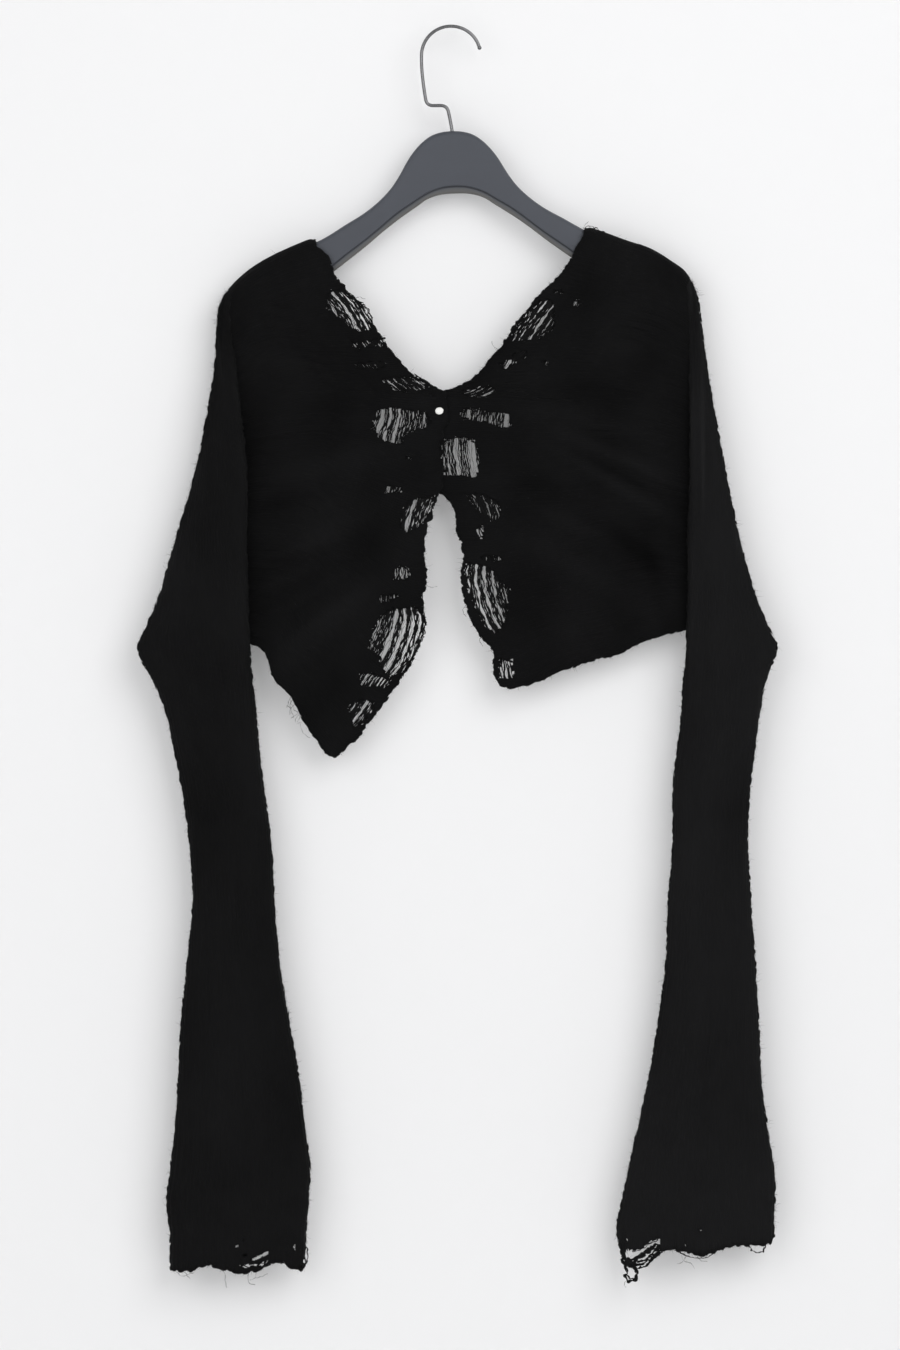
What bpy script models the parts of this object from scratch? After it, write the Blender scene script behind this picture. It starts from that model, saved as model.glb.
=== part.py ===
"""Cropped cardigan hung on a hanger, as eleven plain solids.

Metres, +Z up, the front faces -Y. Left and right are as seen from the front. The origin is the top
of the hook's inside, where a rail or a nail carries it. The tables are in millimetres: "out" is
measured outward from the middle plane on the piece's own side, "down" is measured below the origin.
"""

import math
from collections import namedtuple

import bmesh
import bpy
import numpy as np

MM = 0.001
LEFT, RIGHT = -1.0, 1.0

# Cloth
WALL = 2.0                # thickness of the knit
SEAM = 0.3                # gap where two pieces are sewn
OVER_ARM = 8.4            # outer radius of the cloth over the hanger's arm
LAYER = 1.5               # slack between the folded sleeve and the front under it
SLEEVE_ROOM = 6.6         # hollow inside the folded part of a sleeve
TUBE_BACK = -1.5          # back of the hanging sleeve, along Y
TUBE_FRONT = -20.0        # front of the hanging sleeve, along Y
UNDERARM_BACK = -OVER_ARM + 2 * WALL + SEAM   # the back panel's corner lies on the front panel's
SEAM_A_INSET = 14.0       # front armhole seam, inside the sleeve's outer edge
SEAM_B_INSET = 10.0       # back armhole seam, inside the sleeve's outer edge
LAP = WALL + SEAM         # the right front lies this far behind the left front at the button
LAP_FROM, LAP_TO = 44.0, 20.0
PANEL_ROW_STEP = 24.0     # longest step between a panel's rows, down the armhole
PANEL_COLUMNS = 13
ARC_STEPS = 4

# Button
BUTTON_OUT, BUTTON_DOWN = 8.6, 345.6
BUTTON_RADIUS, BUTTON_THICK = 3.9, 2.6
SHANK_RADIUS, HOLE_RADIUS = 1.2, 1.7

# Hanger
HANGER_THICK = 12.0
LIP_SETBACK = 2.2
HANGER_CROWN = [(2.6, 0.6), (4.7, 2.3), (6.0, 5.0)]   # rounding of its top: Y and fall
HANGER_CENTRE_OUT, HANGER_TOP_DOWN = 2.7, 92.9
HANGER_TILT = -1.66       # degrees about Y, the left end hangs lower

# Hook
WIRE_RADIUS = 1.5
CROOK_RADIUS = 26.6
CROOK_CENTRE_OUT = 1.8
CROOK_END = 18.0          # degrees above the horizontal, where the tip stops
BEND_RADIUS = 6.0
BORE_RADIUS, BORE_DEPTH = 1.85, 14.0

Sleeve = namedtuple("Sleeve", "down outer fold")
Point = namedtuple("Point", "out down")
Fold = namedtuple("Fold", "out down slope length width height")
Station = namedtuple("Station", "along top face_low lip_low")

# Each sleeve hangs folded in front of the body: its outer edge and its fold line, from the
# shoulder down to the cuff. The widest row is the underarm.
SLEEVES = {
    "left": [
        Sleeve(242, 203, 203),
        Sleeve(259, 208, 201),
        Sleeve(282, 209, 196),
        Sleeve(300, 210, 193),
        Sleeve(343, 216, 188),
        Sleeve(404, 229, 182),
        Sleeve(472, 249, 182),
        Sleeve(516, 262, 181),
        Sleeve(540, 272, 180),
        Sleeve(559, 280, 179),
        Sleeve(572, 275, 179),
        Sleeve(588, 266, 177),
        Sleeve(606, 258, 175),
        Sleeve(642, 248, 172),
        Sleeve(678, 241, 168),
        Sleeve(732, 234, 161),
        Sleeve(786, 230, 157),
        Sleeve(840, 234, 152),
        Sleeve(894, 240, 144),
        Sleeve(948, 243, 135),
        Sleeve(1002, 247, 128),
        Sleeve(1032, 251, 125),
        Sleeve(1056, 254, 127),
        Sleeve(1083, 251, 129),
        Sleeve(1117, 250, 130),
    ],
    "right": [
        Sleeve(236, 221, 221),
        Sleeve(254, 226, 218),
        Sleeve(273, 227, 217),
        Sleeve(300, 231, 217),
        Sleeve(343, 238, 217),
        Sleeve(408, 250, 217),
        Sleeve(476, 265, 215),
        Sleeve(516, 277, 215),
        Sleeve(540, 287, 214),
        Sleeve(559, 295, 214),
        Sleeve(572, 291, 213),
        Sleeve(588, 284, 211),
        Sleeve(606, 281, 210),
        Sleeve(642, 276, 207),
        Sleeve(678, 272, 203),
        Sleeve(732, 269, 202),
        Sleeve(786, 271, 197),
        Sleeve(840, 274, 195),
        Sleeve(894, 277, 188),
        Sleeve(948, 280, 178),
        Sleeve(1002, 288, 167),
        Sleeve(1032, 293, 161),
        Sleeve(1056, 293, 157),
        Sleeve(1083, 292, 153),
        Sleeve(1105, 292, 152),
    ],
}
UNDERARM_ROW = 9
CUFF_DROP = {"left": -2.0, "right": 14.0}   # how much lower the fold side of the cuff hangs

SHOULDERS = {
    "left": [Point(119, 189), Point(143, 199), Point(160, 207), Point(178, 218), Point(191, 230),
             Point(198, 240)],
    "right": [Point(121, 179), Point(141, 186), Point(160, 193), Point(181, 200), Point(200, 212),
              Point(212, 224), Point(216, 233)],
}

# The neck, the edge at the button and the edge of the slit, from the shoulder to the hem.
FRONT_EDGES = {
    "left": [Point(119, 189), Point(109, 207), Point(104, 221), Point(93, 236), Point(83, 246),
             Point(59, 282), Point(48, 300), Point(28, 318), Point(5, 328), Point(2, 340),
             Point(2, 356), Point(7, 369), Point(7, 408), Point(6, 420), Point(12, 430),
             Point(19, 449), Point(23, 472), Point(20, 498), Point(24, 512), Point(22, 535),
             Point(27, 555), Point(34, 572), Point(47, 591), Point(58, 607), Point(74, 629),
             Point(94, 647), Point(105, 657)],
    "right": [Point(121, 179), Point(111, 206), Point(103, 220), Point(88, 235), Point(76, 248),
              Point(63, 264), Point(53, 278), Point(35, 297), Point(24, 312), Point(8, 321),
              Point(-14, 329), Point(-17, 340), Point(-17, 400), Point(-12, 412), Point(0, 426),
              Point(6, 440), Point(7, 454), Point(12, 464), Point(13, 480), Point(11, 493),
              Point(13, 510), Point(18, 530), Point(27, 546), Point(39, 559), Point(41, 577),
              Point(45, 591), Point(55, 595)],
}
FRONT_HEMS = {
    "left": [Point(260, 548), Point(178, 555), Point(169, 559), Point(156, 589), Point(142, 602),
             Point(133, 621), Point(116, 643), Point(105, 657)],
    "right": [Point(276, 548), Point(208, 543), Point(188, 549), Point(172, 554), Point(157, 562),
              Point(135, 569), Point(103, 578), Point(78, 590), Point(55, 595)],
}
BACK_EDGES = {
    "left": [Point(119, 189), Point(122, 215), Point(121, 268), Point(104, 292), Point(98, 340),
             Point(96, 410), Point(88, 480), Point(86, 545)],
    "right": [Point(121, 179), Point(123, 205), Point(122, 256), Point(100, 284), Point(92, 330),
              Point(84, 410), Point(80, 480), Point(82, 535)],
}
BACK_HEMS = {
    "left": [Point(262, 541), Point(180, 546), Point(86, 545)],
    "right": [Point(277, 541), Point(180, 534), Point(82, 535)],
}

# Soft ridges on the fronts that run out from the button, and their slope in mm down per mm out.
FRONT_FOLDS = {
    "left": [
        Fold(105, 392, 0.22, 60, 13, 2.4),
        Fold(112, 456, 0.48, 58, 14, 2.8),
        Fold(104, 530, 0.75, 46, 13, 2.0),
    ],
    "right": [
        Fold(118, 384, 0.20, 62, 12, 2.2),
        Fold(122, 434, 0.36, 64, 13, 3.0),
        Fold(126, 492, 0.52, 56, 13, 2.6),
    ],
}
# Long shallow ridges down each sleeve: "out" here is the share of the way from fold to outer edge.
SLEEVE_FOLDS = {
    "left": [Fold(0.34, 860, 0.0, 240, 0.10, 2.2), Fold(0.68, 780, 0.0, 190, 0.09, 1.8)],
    "right": [Fold(0.30, 820, 0.0, 230, 0.10, 2.0), Fold(0.62, 900, 0.0, 210, 0.10, 2.2)],
}

# One arm of the hanger, from its middle to its end. The other arm is its mirror image.
HANGER_STATIONS = [
    Station(0, 0.0, 50.0, 57.5),
    Station(9, 0.8, 50.8, 58.0),
    Station(18, 3.4, 53.0, 59.5),
    Station(27, 9.4, 56.6, 63.0),
    Station(34, 16.5, 61.0, 68.0),
    Station(41, 26.0, 65.6, 73.0),
    Station(48, 38.0, 69.5, 77.5),
    Station(56, 49.6, 75.0, 82.5),
    Station(66, 60.0, 83.0, 89.5),
    Station(80, 71.0, 94.0, 100.5),
    Station(98, 81.6, 107.0, 113.5),
    Station(119, 93.8, 122.0, 128.0),
    Station(135, 100.6, 130.0, 135.5),
    Station(150, 106.5, 135.0, 140.0),
    Station(166, 113.0, 139.0, 143.5),
    Station(175, 118.0, 141.0, 145.0),
    Station(184, 123.6, 142.0, 145.5),
    Station(190, 128.5, 140.5, 143.5),
]

Finish = namedtuple("Finish", "colour roughness metallic")
KNIT = Finish((0.010, 0.010, 0.011), 0.95, 0.0)
PEARL = Finish((0.90, 0.90, 0.87), 0.22, 0.0)
MATTE_GREY = Finish((0.088, 0.094, 0.108), 0.60, 0.0)
STEEL = Finish((0.56, 0.56, 0.57), 0.30, 1.0)


def clear_scene():
    """Remove every object that is in the scene."""
    for item in list(bpy.data.objects):
        bpy.data.objects.remove(item, do_unlink=True)


def make_material(name, finish):
    """Return a Principled material with the given finish."""
    material = bpy.data.materials.new(name)
    material.use_nodes = True
    shader = material.node_tree.nodes["Principled BSDF"]
    shader.inputs["Base Color"].default_value = (*finish.colour, 1.0)
    shader.inputs["Roughness"].default_value = finish.roughness
    shader.inputs["Metallic"].default_value = finish.metallic
    material.diffuse_color = (*finish.colour, 1.0)
    return material


def place(side, out, along_y, down):
    """Return a point in metres from its table sizes."""
    return (side * out * MM, along_y * MM, -down * MM)


def ease(value, low, high):
    """Return a smooth step from 0 at low to 1 at high."""
    share = min(max((value - low) / (high - low), 0.0), 1.0)
    return share * share * (3.0 - 2.0 * share)


def along_line(points, share):
    """Return the point at a share of the length of a line."""
    line = np.array(points, dtype=float)
    steps = np.hypot(*np.diff(line, axis=0).T)
    run = np.concatenate(([0.0], np.cumsum(steps))) / steps.sum()
    return np.array([np.interp(share, run, line[:, 0]), np.interp(share, run, line[:, 1])])


def ridge(fold, out, down):
    """Return the height of one soft ridge at a place."""
    across = (down - fold.down) - fold.slope * (out - fold.out)
    reach = (out - fold.out) / fold.length
    return fold.height * math.exp(-(across / fold.width) ** 2 - reach ** 2)


def front_face(name, out, down):
    """Return Y of a front panel's outer face."""
    height = sum(ridge(fold, out, down) for fold in FRONT_FOLDS[name])
    level = ease(out, 30.0, 60.0)
    lap = LAP * ease(-out, -LAP_FROM, -LAP_TO) if name == "right" else 0.0
    return -OVER_ARM - height * level + lap


def sleeve_row(name, down):
    """Return the sleeve's row at a height, read between the rows of its table."""
    rows = np.array(SLEEVES[name], dtype=float)
    return Sleeve(down, *(np.interp(down, rows[:, 0], rows[:, i]) for i in (1, 2)))


def underarm(name):
    """Return the sleeve's widest row."""
    return SLEEVES[name][UNDERARM_ROW]


def seam_a_out(row):
    """Return how far out the front armhole seam lies."""
    return row.outer - min(SEAM_A_INSET, 0.55 * (row.outer - row.fold))


def seam_b_out(row):
    """Return how far out the back armhole seam lies."""
    return row.outer - min(SEAM_B_INSET, 0.5 * (row.outer - row.fold))


def back_corner(name, down):
    """Return Y of the outer face at the back armhole seam."""
    lowest = underarm(name).down
    return OVER_ARM + (UNDERARM_BACK - OVER_ARM) * ease(down, lowest - 130.0, lowest - 18.0)


class Wall:
    """A closed wall of cloth between an outer and an inner grid of points."""

    def __init__(self, name):
        self.name = name
        self.shape = bmesh.new()

    def row(self, points, closed=False, single=False):
        """Return the vertices of one row, a closed row ending on its first vertex."""
        if single:
            return [self.shape.verts.new(points[0])] * len(points)
        made = [self.shape.verts.new(point) for point in (points[:-1] if closed else points)]
        return made + [made[0]] if closed else made

    def face(self, *corners):
        """Add one face, leaving out corners that are the same vertex."""
        kept = [corner for i, corner in enumerate(corners) if corner is not corners[i - 1]]
        if len(set(kept)) > 2:
            self.shape.faces.new(kept)

    def skin(self, rows, flip):
        """Add the faces of one grid."""
        for upper, lower in zip(rows, rows[1:]):
            for i in range(len(upper) - 1):
                ring = (upper[i], upper[i + 1], lower[i + 1], lower[i])
                self.face(*(reversed(ring) if flip else ring))

    def close(self, outer, inner):
        """Add both skins and the rims between them."""
        self.skin(outer, False)
        self.skin(inner, True)
        for over, under in ((outer[0], inner[0]), (outer[-1], inner[-1])):
            for i in range(len(over) - 1):
                self.face(over[i], over[i + 1], under[i + 1], under[i])
        for i in range(len(outer) - 1):
            if outer[i][0] is outer[i][-1] and outer[i + 1][0] is outer[i + 1][-1]:
                if len(set(outer[i])) > 1:
                    continue
            for end in (0, -1):
                self.face(outer[i][end], outer[i + 1][end], inner[i + 1][end], inner[i][end])

    def build(self, material):
        """Write the wall to a new object and return it."""
        bmesh.ops.recalc_face_normals(self.shape, faces=self.shape.faces)
        mesh = bpy.data.meshes.new(self.name)
        self.shape.to_mesh(mesh)
        self.shape.free()
        return add_object(self.name, mesh, material)


def add_object(name, mesh, material):
    """Put a mesh in the scene under its node's name."""
    mesh.materials.append(material)
    mesh.shade_smooth()
    mesh.set_sharp_from_angle(angle=math.radians(40))
    made = bpy.data.objects.new(name, mesh)
    bpy.context.scene.collection.objects.link(made)
    return made


def panel_lines(name, is_front):
    """Return the armhole, shoulder, hem and edge lines of a panel below its shoulder arc."""
    edge = (FRONT_EDGES if is_front else BACK_EDGES)[name]
    hem = (FRONT_HEMS if is_front else BACK_HEMS)[name]
    shoulder = [Point(p.out, p.down + OVER_ARM) for p in reversed(SHOULDERS[name])]
    seam_out = seam_a_out if is_front else seam_b_out
    first, last = shoulder[0], hem[0]
    armhole = [first]
    for row in SLEEVES[name]:
        if first.down + 12.0 < row.down < last.down - 8.0:
            armhole.append(Point(seam_out(row) - SEAM, row.down))
    armhole.append(last)
    below_arc = [p for p in edge if p.down > shoulder[-1].down + 2.0]
    return armhole, shoulder, hem, [shoulder[-1]] + below_arc


def row_shares(armhole):
    """Return the shares of a panel's rows, one at each point of its armhole line at least."""
    line_points = np.array(armhole, dtype=float)
    steps = np.hypot(*np.diff(line_points, axis=0).T)
    levels = [0.0]
    for step in steps:
        parts = math.ceil(step / PANEL_ROW_STEP)
        levels += [levels[-1] + step * (i + 1) / parts for i in range(parts)]
    return np.array(levels) / levels[-1]


def patch_point(lines, across, along):
    """Return the point of the patch between four lines, from armhole to edge, shoulder to hem."""
    armhole, shoulder, hem, edge = lines
    top, low = along_line(shoulder, across), along_line(hem, across)
    outer, inner = along_line(armhole, along), along_line(edge, along)
    corners = ((1 - across) * ((1 - along) * np.array(armhole[0]) + along * np.array(armhole[-1]))
               + across * ((1 - along) * np.array(edge[0]) + along * np.array(edge[-1])))
    return (1 - along) * top + along * low + (1 - across) * outer + across * inner - corners


def panel_face(name, is_front, out, down):
    """Return Y of a panel's outer face below its shoulder arc."""
    if is_front:
        return front_face(name, out, down)
    seam = seam_b_out(sleeve_row(name, down))
    corner = back_corner(name, down)
    return OVER_ARM + (corner - OVER_ARM) * (1.0 - ease(seam - out, 0.0, 75.0))


def build_panel(name, is_front, material):
    """Build one front or back panel, from the shoulder seam down to the hem."""
    side = LEFT if name == "left" else RIGHT
    facing = -1.0 if is_front else 1.0
    wall = Wall(("front_" if is_front else "back_") + name)
    lines = panel_lines(name, is_front)
    shares = np.linspace(0.0, 1.0, PANEL_COLUMNS)
    outer, inner = [], []
    for along in row_shares(lines[0]):
        places = [patch_point(lines, share, along) for share in shares]
        for inset, rows in ((0.0, outer), (WALL, inner)):
            rows.append(wall.row([
                place(side, out, panel_face(name, is_front, out, down) - facing * inset, down)
                for out, down in places]))
    wall.close(outer, inner)
    return wall.build(material)


def build_shoulder(name, material):
    """Build the cloth that rolls over the hanger's arm, from the front panel to the back panel."""
    side = LEFT if name == "left" else RIGHT
    wall = Wall("shoulder_" + name)
    shoulder = panel_lines(name, True)[1]
    reach = 90.0 - math.degrees(SEAM / OVER_ARM)
    outer, inner = [], []
    for turn in np.radians(np.linspace(-reach, reach, 2 * ARC_STEPS + 1)):
        for radius, rows in ((OVER_ARM, outer), (OVER_ARM - WALL, inner)):
            points = []
            for share in np.linspace(0.0, 1.0, PANEL_COLUMNS):
                out, level = along_line(shoulder, share)
                points.append(place(side, out, radius * math.sin(turn),
                                    level - radius * math.cos(turn)))
            rows.append(wall.row(points))
    wall.close(outer, inner)
    return wall.build(material)


def arc(centre, radii, start, stop, steps):
    """Return points of an elliptic arc, angles in degrees."""
    turns = np.radians(np.linspace(start, stop, steps + 1))
    return [(centre[0] + radii[0] * math.cos(t), centre[1] + radii[1] * math.sin(t)) for t in turns]


def line(start, stop, steps):
    """Return the points between two places, both left out."""
    return [tuple(np.array(start) + (np.array(stop) - start) * i / steps) for i in range(1, steps)]


def sleeve_depths(name, row, rise):
    """Return Y of a sleeve's front, under and back faces at a row."""
    gap = underarm(name).down
    width = row.outer - row.fold
    if row.down > gap:
        settle = ease(row.down, gap, gap + 75.0)
        under = -OVER_ARM - SEAM
        front = under - 2 * WALL - SLEEVE_ROOM
        back = under + (TUBE_BACK - under) * settle
        return front + (TUBE_FRONT - front) * settle, back, back
    room = SLEEVE_ROOM * ease(width, 3.0, 22.0)
    under = -OVER_ARM * rise - SEAM
    back = OVER_ARM * rise if row.down < gap - 18.0 else UNDERARM_BACK
    if rise >= 1.0 and row.down < gap:
        back = back_corner(name, row.down)
    elif row.down >= gap:
        back = under
    return under - 2 * WALL - room, under, back


def sleeve_section(name, row, rise, inset):
    """Return one section of a sleeve, from the back seam round the outer edge to the front seam."""
    width = row.outer - row.fold
    front, under, back = sleeve_depths(name, row, rise)
    closed = row.down >= underarm(name).down
    wrap = row.outer - seam_b_out(row)
    seam = row.outer - wrap if closed else seam_a_out(row)
    turn = min(0.5 * (under - front), 0.36 * width)
    wrap_half, turn_half = 0.5 * (back - front), 0.5 * (under - front)
    slack = 0.0 if closed else LAYER * ease(width, 8.0, 30.0)
    wrap_centre = (row.outer - wrap, 0.5 * (front + back))
    turn_centre = (row.fold + turn, 0.5 * (front + under))
    outer_arc = arc(wrap_centre, (wrap - inset, wrap_half - inset), 90.0, -90.0, 8)
    fold_arc = arc(turn_centre, (turn - inset, turn_half - inset), 270.0, 90.0, 6)
    across_front = line(outer_arc[-1], fold_arc[0], 6)
    end = (seam, under - inset)
    across_back = line(fold_arc[-1], end, 6) + [end]
    section = outer_arc + across_front + fold_arc + across_back
    shifted = []
    for out, along_y in section:
        share = (out - row.fold) / max(width, 1.0)
        leaning = slack * (1.0 - ease(share, 0.0, 0.9)) if along_y > front - 1.0 else 0.0
        push = sum(sleeve_ridge(fold, share, row.down) for fold in SLEEVE_FOLDS[name])
        shifted.append((out, along_y - leaning - push))
    return shifted


def sleeve_ridge(fold, share, down):
    """Return the height of one long ridge down a sleeve."""
    return fold.height * math.exp(-((share - fold.out) / fold.width) ** 2
                                  - ((down - fold.down) / fold.length) ** 2)


def build_sleeve(name, material):
    """Build one sleeve: open along the armhole, closed below the underarm, open at the cuff."""
    side = LEFT if name == "left" else RIGHT
    wall = Wall("sleeve_" + name)
    apex, cuff = SLEEVES[name][0], SLEEVES[name][-1]
    levels = [apex.down + drop for drop in (1.6, 4.6, 8.4)] + [row.down for row in SLEEVES[name][1:]]
    outer, inner = [], []
    count = None
    for level in levels:
        row = sleeve_row(name, level)
        fallen = min((level - apex.down) / OVER_ARM, 1.0)
        rise = math.sqrt(1.0 - (1.0 - fallen) ** 2)
        thick = min(WALL, 0.26 * (row.outer - row.fold + 4.0 * (1.0 - fallen)))
        spread = 3.2 * (1.0 - ease(fallen, 0.0, 1.0))
        row = Sleeve(row.down, row.outer + spread, row.fold - spread)
        closed = level >= underarm(name).down
        for inset, rows in ((0.0, outer), (thick, inner)):
            points = []
            for out, along_y in sleeve_section(name, row, rise, inset):
                share = (row.outer - out) / (row.outer - row.fold)
                drop = CUFF_DROP[name] * share * ease(level, cuff.down - 60.0, cuff.down)
                points.append(place(side, out, along_y, level + drop))
            count = len(points)
            rows.append(wall.row(points, closed=closed))
    for depth, rows in ((0.0, outer), (1.4, inner)):
        tip = place(side, apex.outer, -1.5, apex.down + depth)
        rows.insert(0, wall.row([tip] * count, single=True))
    wall.close(outer, inner)
    return wall.build(material)


def cylinder_along(start, stop, radius, sides):
    """Return a closed cylinder mesh between two points in metres, its radius in millimetres."""
    start, stop = np.array(start), np.array(stop)
    axis = (stop - start) / np.linalg.norm(stop - start)
    helper = np.array((0.0, 0.0, 1.0)) if abs(axis[2]) < 0.9 else np.array((1.0, 0.0, 0.0))
    first = np.cross(axis, helper)
    first /= np.linalg.norm(first)
    second = np.cross(axis, first)
    shape = bmesh.new()
    rings = []
    for centre in (start, stop):
        turns = [2 * math.pi * i / sides for i in range(sides)]
        spokes = [math.cos(t) * first + math.sin(t) * second for t in turns]
        rings.append([shape.verts.new(centre + radius * MM * spoke) for spoke in spokes])
    for i in range(sides):
        shape.faces.new((rings[0][i], rings[0][i - 1], rings[1][i - 1], rings[1][i]))
    shape.faces.new(rings[0])
    shape.faces.new(list(reversed(rings[1])))
    bmesh.ops.recalc_face_normals(shape, faces=shape.faces)
    mesh = bpy.data.meshes.new("cylinder")
    shape.to_mesh(mesh)
    shape.free()
    return mesh


def cut_with(target, mesh, name):
    """Cut a hidden helper's shape out of an object."""
    cutter = bpy.data.objects.new(name, mesh)
    bpy.context.scene.collection.objects.link(cutter)
    cutter.hide_render = True
    cutter.display_type = "WIRE"
    cut = target.modifiers.new(name, "BOOLEAN")
    cut.operation = "DIFFERENCE"
    cut.solver = "EXACT"
    cut.object = cutter


def build_button(material):
    """Build the button with its shank, turned about an axis along Y."""
    face, under = -OVER_ARM - SEAM, -OVER_ARM + WALL
    profile = [(0.0, face - BUTTON_THICK), (0.55 * BUTTON_RADIUS, face - 0.94 * BUTTON_THICK),
               (0.88 * BUTTON_RADIUS, face - 0.70 * BUTTON_THICK),
               (BUTTON_RADIUS, face - 0.35 * BUTTON_THICK), (0.92 * BUTTON_RADIUS, face),
               (SHANK_RADIUS, face), (SHANK_RADIUS, under), (0.0, under)]
    shape = bmesh.new()
    sides = 20
    rings = []
    for radius, along_y in profile:
        if radius == 0.0:
            rings.append([shape.verts.new(place(LEFT, BUTTON_OUT, along_y, BUTTON_DOWN))] * sides)
            continue
        turns = [2 * math.pi * i / sides for i in range(sides)]
        rings.append([shape.verts.new(place(LEFT, BUTTON_OUT + radius * math.cos(t), along_y,
                                            BUTTON_DOWN + radius * math.sin(t))) for t in turns])
    for near, far in zip(rings, rings[1:]):
        for i in range(sides):
            corners = (near[i], near[i - 1], far[i - 1], far[i])
            kept = [c for n, c in enumerate(corners) if c is not corners[n - 1]]
            shape.faces.new(kept)
    bmesh.ops.recalc_face_normals(shape, faces=shape.faces)
    mesh = bpy.data.meshes.new("button")
    shape.to_mesh(mesh)
    shape.free()
    return add_object("button", mesh, material)


def hanger_section(station):
    """Return the hanger's outline across one station, as Y and down, from the top's front edge."""
    half = 0.5 * HANGER_THICK
    step = half - LIP_SETBACK
    crown = [(0.0, station.top)] + [(y, station.top + fall) for y, fall in HANGER_CROWN]
    side = crown + [(half, station.face_low), (step, station.face_low), (step, station.lip_low)]
    return side + [(-along_y, down) for along_y, down in reversed(side[1:])]


def build_hanger(material, bore):
    """Build the hanger's body as a loft along X, with the bore for the wire."""
    shape = bmesh.new()
    stations = [station._replace(along=-station.along) for station in reversed(HANGER_STATIONS[1:])]
    rings = []
    for station in stations + HANGER_STATIONS:
        rings.append([shape.verts.new(place(RIGHT, station.along, along_y, down))
                      for along_y, down in hanger_section(station)])
    for near, far in zip(rings, rings[1:]):
        for i in range(len(near)):
            shape.faces.new((near[i], near[i - 1], far[i - 1], far[i]))
    shape.faces.new(rings[0])
    shape.faces.new(list(reversed(rings[-1])))
    bmesh.ops.recalc_face_normals(shape, faces=shape.faces)
    mesh = bpy.data.meshes.new("hanger")
    shape.to_mesh(mesh)
    shape.free()
    hanger = add_object("hanger", mesh, material)
    hanger.location = place(RIGHT, HANGER_CENTRE_OUT, 0.0, HANGER_TOP_DOWN)
    hanger.rotation_euler.y = math.radians(HANGER_TILT)
    cut_with(hanger, bore, "wire_bore")
    return hanger


def hook_route():
    """Return the wire's route as out and down pairs: stem, jog, rise and crook."""
    crook_down = CROOK_RADIUS - WIRE_RADIUS
    rise_out = CROOK_CENTRE_OUT - CROOK_RADIUS
    corners = [Point(4.2, HANGER_TOP_DOWN + 12.0), Point(-1.6, 70.0), Point(-20.4, 70.0),
               Point(rise_out, crook_down + 8.0)]
    route = [corners[0]]
    for before, corner, after in zip(corners, corners[1:], corners[2:]):
        start = toward(corner, before, BEND_RADIUS)
        stop = toward(corner, after, BEND_RADIUS)
        for share in np.linspace(0.0, 1.0, 6):
            route.append(bend(start, corner, stop, share))
    crook = arc((CROOK_CENTRE_OUT, crook_down), (CROOK_RADIUS, -CROOK_RADIUS), 180.0, CROOK_END, 20)
    return route + crook


def toward(start, stop, distance):
    """Return the place that is a distance from start on the way to stop."""
    way = np.array(stop, dtype=float) - np.array(start, dtype=float)
    return np.array(start) + way * distance / np.linalg.norm(way)


def bend(start, corner, stop, share):
    """Return a place on the soft bend between two straight runs."""
    corner = np.array(corner, dtype=float)
    return (1 - share) ** 2 * start + 2 * share * (1 - share) * corner + share ** 2 * stop


def build_hook(material):
    """Build the wire hook as a bevelled curve."""
    curve = bpy.data.curves.new("hanger_hook", "CURVE")
    curve.dimensions = "3D"
    curve.bevel_depth = WIRE_RADIUS * MM
    curve.bevel_resolution = 2
    curve.use_fill_caps = True
    route = hook_route()
    spline = curve.splines.new("POLY")
    spline.points.add(len(route) - 1)
    for point, (out, down) in zip(spline.points, route):
        point.co = (*place(RIGHT, out, 0.0, down), 1.0)
    curve.materials.append(material)
    hook = bpy.data.objects.new("hanger_hook", curve)
    bpy.context.scene.collection.objects.link(hook)
    return hook


def main():
    """Build the cardigan, its button, the hanger and the hook."""
    clear_scene()
    knit = make_material("knit", KNIT)
    for name in ("left", "right"):
        build_sleeve(name, knit)
        build_shoulder(name, knit)
        build_panel(name, False, knit)
    front_left = build_panel("left", True, knit)
    build_panel("right", True, knit)
    hole = cylinder_along(place(LEFT, BUTTON_OUT, -OVER_ARM - 1.0, BUTTON_DOWN),
                          place(LEFT, BUTTON_OUT, -OVER_ARM + WALL + 0.2, BUTTON_DOWN),
                          HOLE_RADIUS, 12)
    cut_with(front_left, hole, "buttonhole")
    build_button(make_material("button", PEARL))
    route = hook_route()
    stem = toward(route[0], route[1], -1.0)
    past = toward(route[0], route[1], BORE_DEPTH + 4.0)
    bore = cylinder_along(place(RIGHT, stem[0], 0.0, stem[1]), place(RIGHT, past[0], 0.0, past[1]),
                          BORE_RADIUS, 12)
    build_hanger(make_material("hanger", MATTE_GREY), bore)
    build_hook(make_material("steel", STEEL))


main()
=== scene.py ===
"""Looks of a cropped, black mohair cardigan that hangs on a hanger with a wire hook.

Metres, +Z up, the front faces -Y, and the origin is the top of the hook's inside. The tables are in
millimetres: "out" is measured outward from the middle plane on the piece's own side, and "down" is
measured below the origin. Left and right are as seen from the front.
"""
import logging
import math
from dataclasses import dataclass, field
from enum import Enum
from typing import Any, Sequence

import bmesh
import bpy
import numpy as np
from mathutils import Matrix, Vector


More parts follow.
